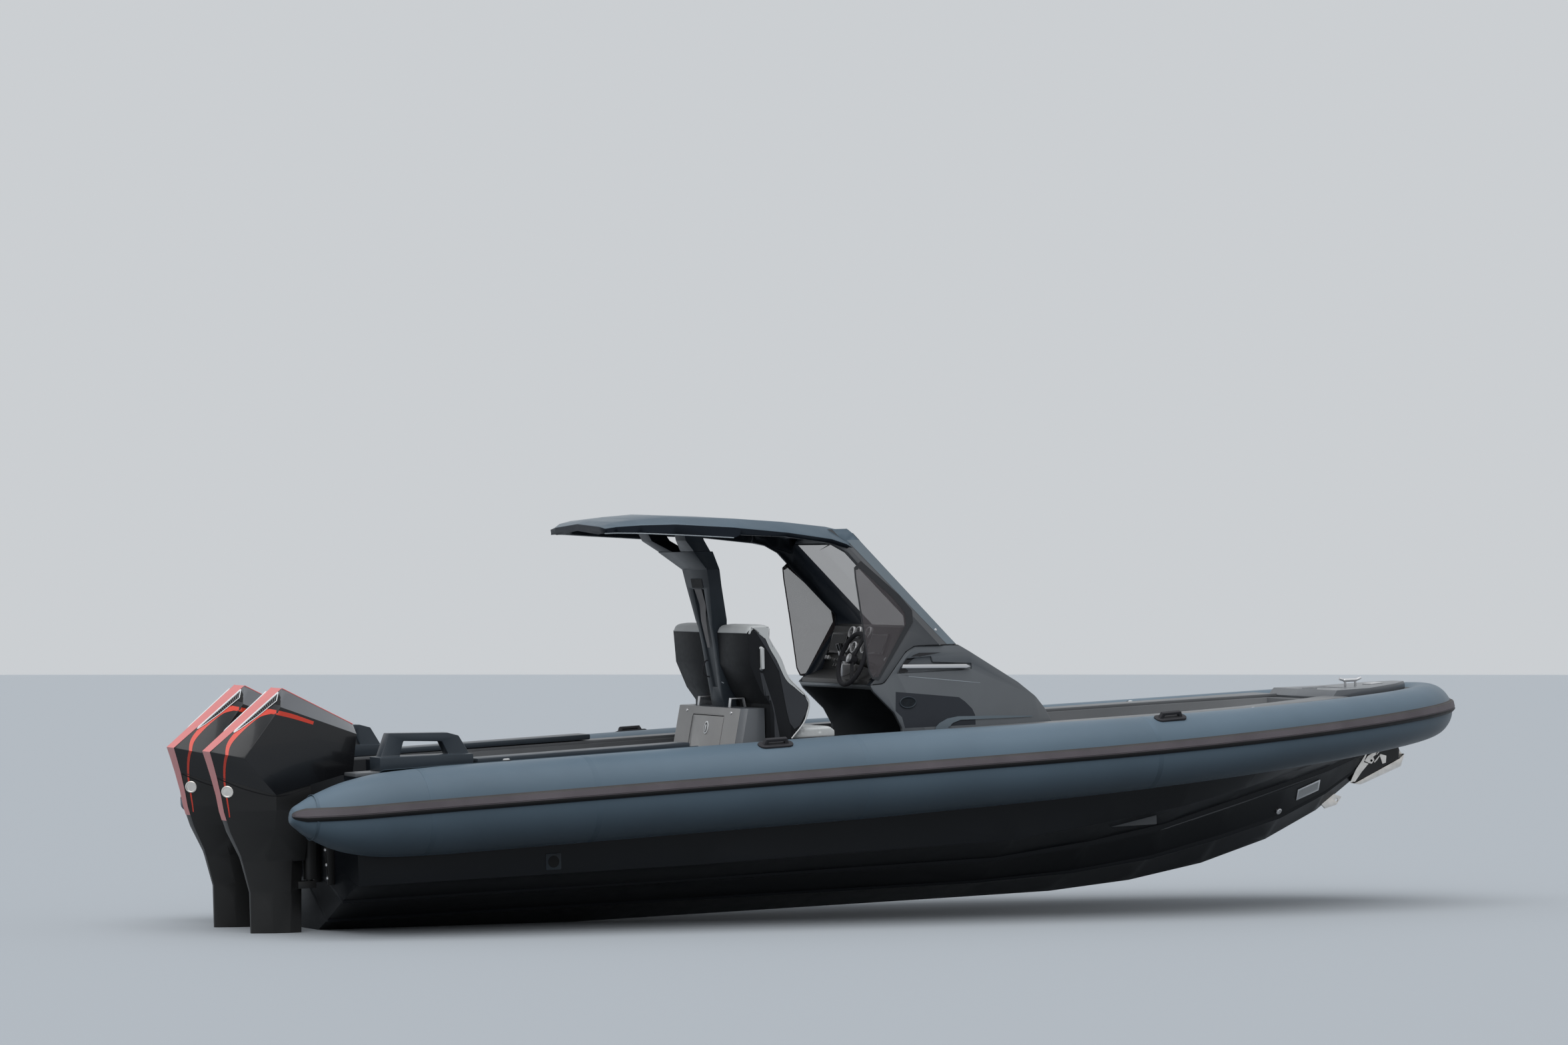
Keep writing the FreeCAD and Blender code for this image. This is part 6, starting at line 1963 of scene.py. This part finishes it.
@dataclass
class DeckCushions:
    """Cushions of the stern bench and the bow lounge."""

    def build(self) -> None:
        """Makes both cushions."""
        low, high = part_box("stern_cushion")
        inset = Vector((0.008, 0.008, 0.0))
        start = box_mesh("stern_bench_cushion", low + inset, high - inset - UP * 0.008)
        cushion = Cushion("stern_bench_cushion", 0.012, 0.012)
        piece = cushion.swell(start)
        cushion.sew(piece, lambda p: min(abs(p.y - 0.225), abs(p.y + 0.225)), 0.007, 0.012)
        cushion.close(piece, low, high + UP * 0.01)
        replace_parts(done(piece, GREY_VINYL), "stern_cushion")
        self.lounge()

    def lounge(self) -> None:
        """Bow lounge cushion, cut to the narrowing deck."""
        low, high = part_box("bow_cushion")
        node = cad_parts["bow_cushion"].data
        outline = sorted({(round(v.co.x, 3),
                           round(abs(v.co.y), 3)) for v in node.vertices if abs(v.co.y) > 0.01})
        half = [(x, max(0.02, y - 0.01)) for x, y in outline]
        half[0] = (half[0][0] + 0.008, half[0][1])
        half[-1] = (half[-1][0] - 0.008, half[-1][1])
        whole = half + [(x, -y) for x, y in reversed(half)]
        start = prism_mesh("bow_lounge_cushion", whole, low.z, high.z - 0.008, False)
        cushion = Cushion("bow_lounge_cushion", 0.016, 0.012)
        piece = cushion.swell(start)
        cushion.sew(piece, lambda p: min(abs(p.x - 2.83), abs(p.x - 3.33), abs(p.y)), 0.008, 0.014)
        cushion.close(piece, low, high + UP * 0.01)
        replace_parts(done(piece, GREY_VINYL), "bow_cushion")


@dataclass
class UnitTrim:
    """Latch, joint and fasteners of the unit behind the seats.

    Args:
        latch: place of the door's latch, y and z.
        fasteners: places of the round fasteners, y and z.
    """

    latch: Pair = (0.0, 0.725)
    fasteners: tuple[Pair, ...] = ((0.34, 0.826), (-0.34, 0.826))

    def build(self) -> None:
        """Makes the trim."""
        door = Surface("aft_unit_door")
        place = door.frame_at(door.astern(*self.latch))
        done(plate("door_latch_rim", oval(0.03, 0.042), 0.005, place, 0.0015), LENS, "aft_unit_door")
        done(plate("door_latch_cup", oval(0.022, 0.033), 0.0054, place), DIAL, "aft_unit_door")
        tongue = rounded(((-0.007, -0.026), (0.007, -0.026), (0.009, 0.018), (-0.009, 0.018)), 0.005, 4)
        done(plate("door_latch_tongue", tongue, 0.0075, place, 0.001), STEEL, "aft_unit_door")
        unit = Surface("aft_unit")
        done(skin("unit_aft_face", "aft_unit", lambda spot, normal: normal.x < -0.8, 0.0006), UNIT_FACE)
        done(self.door_gap(unit), SHADE_AND_JOINT_BLACK)
        heads = [found for y, z in self.fasteners if (found := unit.astern(y, z))]
        Fasteners(0.012, 0.005, 24).build("unit_fasteners", heads, STEEL)

    def door_gap(self, unit: Surface) -> Piece:
        """Dark joint round the door, its top corners rounded.

        Args:
            unit: surface of the unit.

        Returns:
            The piece.
        """
        low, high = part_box("aft_unit_door")
        rings = []
        for out in (0.001, 0.01):
            corners = ((low.y - out, low.z - out), (high.y + out, low.z - out),
                       (high.y + out, high.z + out),
                       (low.y - out, high.z + out))
            ring = []
            for y, z in rounded(corners, 0.03 + out, 6):
                found = unit.astern(y, z)
                ring.append(found[0] + found[1] * 0.0016 if found else Vector((low.x, y, z)))
            rings.append(ring)
        inner, outer = rings
        return loose_faces("unit_door_gap", band_faces(outer, inner), -FORWARD)


@dataclass
class PylonTrim:
    """Recess, panel and painted edge highlights of the pylon.

    Args:
        recess: lower and upper height and half width of the dark recess.
        panel: rows of the panel under it, height and half width.
        edges: painted highlights along edges on the sides, x and z.
        loop: line of the rope loop behind the mast, x and z.
    """

    recess: Point = (1.609, 1.667, 0.085)
    panel: tuple[Pair, ...] = ((1.603, 0.056), (1.5, 0.047), (1.4, 0.038), (1.3, 0.028), (1.23, 0.018))
    edges: tuple[tuple[Pair, ...], ...] = (((-0.683, 1.732), (-0.633, 1.733), (-0.583, 1.734)),
                                           ((-0.517, 1.037), (-0.478, 1.021), (-0.44, 1.005)))
    loop: tuple[Pair, ...] = ((-0.5, 1.15), (-0.52, 1.14), (-0.536, 1.082), (-0.515, 1.052), (-0.49, 1.044))

    def aft(self, mast: Surface, z: float, half: float) -> list[Vector]:
        """Two points over the aft face at a height, beside the groove."""
        found = mast.astern(0.07, z)
        x = found[0].x - 0.0025 if found else -0.5
        return [Vector((x, half, z)), Vector((x, -half, z))]

    def build(self) -> None:
        """Makes the pieces."""
        mast = Surface("pylon")
        low, high, half = self.recess
        (a, b), (c, d) = self.aft(mast, low, half), self.aft(mast, high, half)
        done(loose_faces("pylon_recess", [(a, b, d, c)], -FORWARD), SHADE_AND_JOINT_BLACK)
        rows = [self.aft(mast, z, width) for z, width in self.panel]
        faces = [(r[0], r[1], t[1], t[0]) for r, t in zip(rows, rows[1:])]
        done(loose_faces("pylon_panel", faces, -FORWARD), GREY_PANEL)
        # Painted highlights along two edges on each side.
        for side, name in SIDES:
            for i, edge in enumerate(self.edges):
                done(mast.stripe(f"pylon_edge_highlight_{i}_{name}", edge, [0.007] * len(edge), side, 0.0012),
                     PAINTED_EDGE_HIGHLIGHT)
        rope = smooth_path([(x, 0.0, z) for x, z in self.loop], 5)
        done(pipe("pylon_loop", rope, 0.0045, 8), BLACK_RUBBER)


@dataclass
class BowTrim:
    """Anchor guard, plaque and small fittings of the bow and the hull.

    Args:
        shell: outline of the guard's side, x and z.
        plates: outlines of the bright cheeks on it, x and z.
        pin: place of the cheek's pin, x and z.
        rail: line of the painted highlight along the spray rail's edge, x and z.
        step_place: middle of the plate on the step, x.
        fitting: place of the square fitting aft, x and z.
        plaque: place of the blank plaque, x and z.
        outlet: place of the water outlet, x and z.
    """

    shell: tuple[Pair, ...] = (
        (4.4, 0.391), (4.45, 0.425), (4.522, 0.413), (4.552, 0.389), (4.568, 0.358), (4.567, 0.303),
        (4.473, 0.263), (4.334, 0.197), (4.215, 0.158), (4.2, 0.176), (4.354, 0.3))
    plates: tuple[tuple[Pair, ...], ...] = (
        ((4.189, 0.165), (4.224, 0.162), (4.278, 0.225), (4.334, 0.279), (4.298, 0.292), (4.322, 0.34),
         (4.368, 0.392), (4.36, 0.394), (4.316, 0.348), (4.28, 0.3), (4.233, 0.243)),
        ((4.304, 0.299), (4.33, 0.331), (4.403, 0.366), (4.425, 0.37), (4.412, 0.348), (4.372, 0.324),
         (4.382, 0.301), (4.36, 0.278), (4.338, 0.283)),
        ((4.379, 0.291), (4.418, 0.329), (4.427, 0.329), (4.405, 0.302), (4.383, 0.284)),
        ((4.424, 0.334), (4.433, 0.34), (4.477, 0.327), (4.472, 0.28), (4.445, 0.274)))
    pin: Pair = (4.358, 0.299)
    step_place: float = 4.423
    fitting: Pair = (-1.956, 0.005)
    plaque: Pair = (3.768, 0.137)
    outlet: Pair = (3.525, 0.008)
    rail: tuple[Pair, ...] = (
        (2.45, -0.055), (2.574, -0.029), (2.782, 0.015), (3.019, 0.065), (3.26, 0.115), (3.514, 0.171),
        (3.706, 0.209), (3.868, 0.242), (4.041, 0.283), (4.2, 0.325))

    def build(self) -> None:
        """Makes the pieces on both sides of the stem."""
        hull = Surface("hull")
        self.guard()
        step = Surface("bow_step")
        place = step.frame_at(step.hit(Vector((self.step_place, 0.0, 1.2)), -UP), FORWARD)
        done(plate("step_plate", rounded(oblong(0.06, 0.05), 0.012, 4), 0.005, place, 0.0015), STEEL)
        for side, name in SIDES:
            # Painted highlight along the spray rail's edge.
            widths = [0.003] + [0.008] * (len(self.rail) - 2) + [0.004]
            done(hull.stripe("hull_rail_highlight_" + name, self.rail, widths, side, 0.001), RAIL_PAINTED_HIGHLIGHT)
            found = hull.beside(*self.fitting, side)
            if found:
                square = rounded(oblong(0.05, 0.05), 0.01, 3)
                done(plate("hull_fitting_" + name, square, 0.005, hull.frame_at(found), 0.0015),
                     DARK_MOULDING)
                profile = ((0.0, 0.004), (0.034, 0.004), (0.036, 0.0075))
                done(turned("hull_fitting_hole_" + name, profile, *found, 32), SHADE_AND_JOINT_BLACK)
            tilt = hull.frame_at(hull.beside(*self.plaque, side)) @ Matrix.Rotation(side * -0.3, 4, "Z")
            outer, inner = rounded(oblong(0.108, 0.044), 0.004, 2), rounded(oblong(0.094, 0.031), 0.003, 2)
            done(plate("plaque_frame_" + name, outer, 0.006, tilt, 0.001), STEEL)
            done(plate("plaque_face_" + name, inner, 0.0066, tilt), LENS)
            found = hull.beside(*self.outlet, side)
            if found:
                profile = ((0.0, -0.004), (0.022, -0.004), (0.022, 0.01), (0.017, 0.014), (0.012, 0.014),
                           (0.01, 0.006), (0.0, 0.006))
                done(turned("hull_outlet_" + name, profile, *found, 28), STEEL)

    def guard(self) -> None:
        """Dark shell round the anchor's seat and the bright cheeks on it."""
        shells, cheeks, pins = [], [], []
        for side in (PORT, STARBOARD):
            shells.append(prism_mesh("shell", self.shell, side * 0.053, side * 0.059, True))
            cheeks += [prism_mesh("cheek", line, side * 0.059, side * 0.065, True) for line in self.plates]
            bar = [Vector((4.484, side * 0.064, 0.427)), Vector((4.436, side * 0.064, 0.376)),
                   Vector((4.397, side * 0.064, 0.34))]
            cheeks.append(pipe("bar", bar, 0.0065, 8))
            spot = Vector((self.pin[0], side * 0.064, self.pin[1]))
            pins.append(turned("pin", ((0.0, 0.0), (0.009, 0.0), (0.008, 0.003), (0.0, 0.003)), spot,
                               Vector((0, side, 0)), 20))
        done(joined("anchor_shell", shells), BLACK_PLASTIC)
        done(joined("anchor_cheeks", cheeks), PALE_STEEL)
        done(joined("anchor_pins", pins), SHADE_AND_JOINT_BLACK)


@dataclass
class RoofTrim:
    """Lamps and trim of the roof.

    Args:
        lamps: places of the lamps, x and y.
        rim: line of the painted highlight along the lower edge, x, y and z.
    """

    lamps: tuple[Pair, ...] = ((-1.2, 0.3), (-0.9, 0.32), (-0.35, 0.32), (0.05, 0.3))
    rim: tuple[Point, ...] = (
        (-1.37, 0.435, 1.97), (-1.32, 0.5, 1.971), (-1.2, 0.605, 1.966), (-1.0, 0.68, 1.952),
        (-0.8, 0.694, 1.938), (-0.62, 0.705, 1.924))

    @staticmethod
    def dark(spot: Vector, normal: Vector) -> bool:
        """Tells whether a face of the roof gets painted shade: its underside, and its sides aft of the pillars.
        """
        return normal.z < -0.3 or (normal.z < 0.5 and spot.x < 0.0)

    def build(self) -> None:
        """Makes the painted shade on the sides and underside, the painted highlight along the lower edge and
        the lamps under the roof.
        """
        # Painted shade on the roof's underside and on its sides aft of the pillars.
        done(skin("roof_painted_shade_sides", "roof", self.dark, 0.0012), ROOF_PAINTED_SHADE)
        # Painted highlight along the roof's lower edge.
        edges = [pipe("edge", [Vector((x, side * (y + 0.002), z)) for x, y, z in self.rim], 0.0035, 8)
                 for side in (PORT, STARBOARD)]
        done(joined("roof_edge_highlights", edges), PAINTED_EDGE_HIGHLIGHT)
        roof = Surface("roof")
        rims, lenses = [], []
        for x, y in self.lamps:
            for side in (PORT, STARBOARD):
                found = roof.hit(Vector((x, side * y, 1.2)), UP)
                if not found:
                    continue
                rims.append(turned("rim", ((0.0, -0.001), (0.042, -0.001), (0.04, 0.004), (0.03, 0.006),
                                           (0.028, 0.003), (0.0, 0.003)), found[0], found[1], 28))
                lenses.append(turned("lens", ((0.0, 0.0), (0.027, 0.0), (0.027, 0.005), (0.0, 0.006)),
                                     found[0], found[1], 24))
        done(joined("roof_lamp_rims", rims), STEEL)
        done(joined("roof_lamp_lenses", lenses), LENS)


@dataclass
class Studio:
    """Floor, light and camera.

    Args:
        pitch: how far the bow is up, in degrees.
        heel: how far the boat leans to port, in degrees.
        floor: height of the floor below the boat's origin.
        bearing: how far the camera looks forward of square on, in degrees.
        dip: how far it looks down or up, in degrees.
        distance: distance of the camera.
        height: height of the camera.
        lens: focal length on a 36 mm sensor.
        suns: name, place, spread in degrees and strength of each lamp.
    """

    pitch: float = 2.03
    heel: float = 1.0
    floor: float = -0.5
    bearing: float = 25.0
    dip: float = math.degrees(math.atan((985 - 784) / 7050))
    distance: float = 30.0
    height: float = 1.155
    lens: float = 7050 / 2353 * 36
    suns: tuple[tuple[str, Point, float, float], ...] = (("overhead", (-1.0, -2.0, 9.0), 70.0, 1.75),
                                                         ("key", (-5.0, -9.0, 7.0), 40.0, 0.6))

    def turn(self) -> Matrix:
        """Turns level directions into the boat's own.

        Returns:
            The matrix.
        """
        p, h = math.radians(self.pitch), math.radians(self.heel)
        rise = Matrix(((math.cos(p), 0, -math.sin(p)), (0, 1, 0), (math.sin(p), 0, math.cos(p))))
        lean = Matrix(((1, 0, 0), (0, math.cos(h), -math.sin(h)), (0, math.sin(h), math.cos(h))))
        return (lean @ rise).transposed()

    def build(self) -> None:
        """Makes the studio."""
        turn = self.turn()
        self.camera(turn)
        up = turn @ UP
        floor = new_piece("studio_floor", mesh_of("studio_floor", [
            up * self.floor + turn @ Vector((400 * math.cos(a * math.pi / 24),
                                             400 * math.sin(a * math.pi / 24), 0))
            for a in range(48)], [tuple(range(48))]))
        floor.data.materials.append(self.floor_material())
        self.world()
        for name, spot, spread, strength in self.suns:
            light = bpy.data.lights.new(name, "SUN")
            light.angle = math.radians(spread)
            light.energy = strength
            lamp = bpy.data.objects.new(name, light)
            lamp.location = Vector(spot)
            lamp.rotation_euler = (-Vector(spot)).to_track_quat("-Z", "Y").to_euler()
            bpy.context.scene.collection.objects.link(lamp)
        bpy.context.scene.view_settings.view_transform = "Standard"

    def camera(self, turn: Matrix) -> None:
        """Places the camera at the photograph's viewpoint.

        Args:
            turn: turns level directions into the boat's own.
        """
        bearing, dip = math.radians(self.bearing), math.radians(self.dip)
        level = Vector((math.sin(bearing), math.cos(bearing), 0.0))
        right = Vector((math.cos(bearing), -math.sin(bearing), 0.0))
        axis = level * math.cos(dip) + UP * math.sin(dip)
        rise = -level * math.sin(dip) + UP * math.cos(dip)
        spot = turn @ (level * -self.distance + UP * self.height)
        right, rise, axis = turn @ right, turn @ rise, turn @ axis
        data = bpy.data.cameras.new("camera")
        data.lens = self.lens
        data.sensor_width = 36.0
        data.clip_end = 900.0
        camera = bpy.data.objects.new("camera", data)
        camera.matrix_world = Matrix((
            (right.x, rise.x, -axis.x, spot.x),
            (right.y, rise.y, -axis.y, spot.y),
            (right.z, rise.z, -axis.z, spot.z),
            (0.0, 0.0, 0.0, 1.0),
        ))
        bpy.context.scene.collection.objects.link(camera)
        bpy.context.scene.camera = camera

    @staticmethod
    def seen(tree: bpy.types.NodeTree) -> Socket:
        """Socket that is 1 where the camera sees a thing, straight or in metal or glass.

        Args:
            tree: tree that gets the nodes.

        Returns:
            The socket.
        """
        path = add_node(tree, "ShaderNodeLightPath")
        result = path.outputs["Is Camera Ray"]
        for ray in ("Is Glossy Ray", "Is Transmission Ray"):
            larger = add_node(tree, "ShaderNodeMath", {"operation": "MAXIMUM"})
            tree.links.new(result, larger.inputs[0])
            tree.links.new(path.outputs[ray], larger.inputs[1])
            result = larger.outputs[0]
        return result

    @staticmethod
    def floor_material() -> bpy.types.Material:
        """Pale floor that keeps the shadow and throws little light back up.

        Returns:
            The material.
        """
        made = bpy.data.materials.new("studio_floor")
        made.use_nodes = True
        tree = made.node_tree
        shader = tree.nodes["Principled BSDF"]
        shader.inputs["Roughness"].default_value = 0.8
        shader.inputs["Specular IOR Level"].default_value = 0.1
        tone = add_node(tree, "ShaderNodeMix", {"data_type": "RGBA"}, Factor=Studio.seen(tree),
                        A=(0.05, 0.056, 0.062, 1.0), B=(0.36, 0.385, 0.41, 1.0))
        tree.links.new(tone.outputs["Result"], shader.inputs["Base Color"])
        return made

    @staticmethod
    def world() -> None:
        """Soft sky light with a pale background for the camera."""
        world = bpy.data.worlds.new("studio")
        bpy.context.scene.world = world
        world.use_nodes = True
        tree = world.node_tree
        back = tree.nodes["Background"]
        place = add_node(tree, "ShaderNodeTexCoord")
        split = add_node(tree, "ShaderNodeSeparateXYZ", Vector=place.outputs["Generated"])
        scale = add_node(tree, "ShaderNodeMapRange", Value=split.outputs["Z"], From_Min=-1.0)
        ramp = add_node(tree, "ShaderNodeValToRGB", Fac=scale.outputs["Result"])
        low, high = ramp.color_ramp.elements
        low.position, low.color = 0.46, (0.045, 0.05, 0.056, 1.0)
        high.position, high.color = 0.75, (0.86, 0.9, 0.95, 1.0)
        mix = add_node(tree, "ShaderNodeMix", {"data_type": "RGBA"}, Factor=Studio.seen(tree),
                       A=ramp.outputs["Color"], B=(0.8, 0.83, 0.86, 1.0))
        tree.links.new(mix.outputs["Result"], back.inputs["Color"])
        back.inputs["Strength"].default_value = 0.75


def main() -> None:
    """Builds the scene."""
    logging.basicConfig(level=logging.INFO, format="%(message)s")
    Studio().build()
    DeckCushions().build()
    Seats().build()
    Collar().build()
    Outboard(STARBOARD).build()
    Outboard(PORT).build()
    ConsoleTrim().build()
    Helm().build()
    UnitTrim().build()
    BowTrim().build()
    PylonTrim().build()
    RoofTrim().build()
    CadDress().build()


if __name__ == "__main__":
    main()
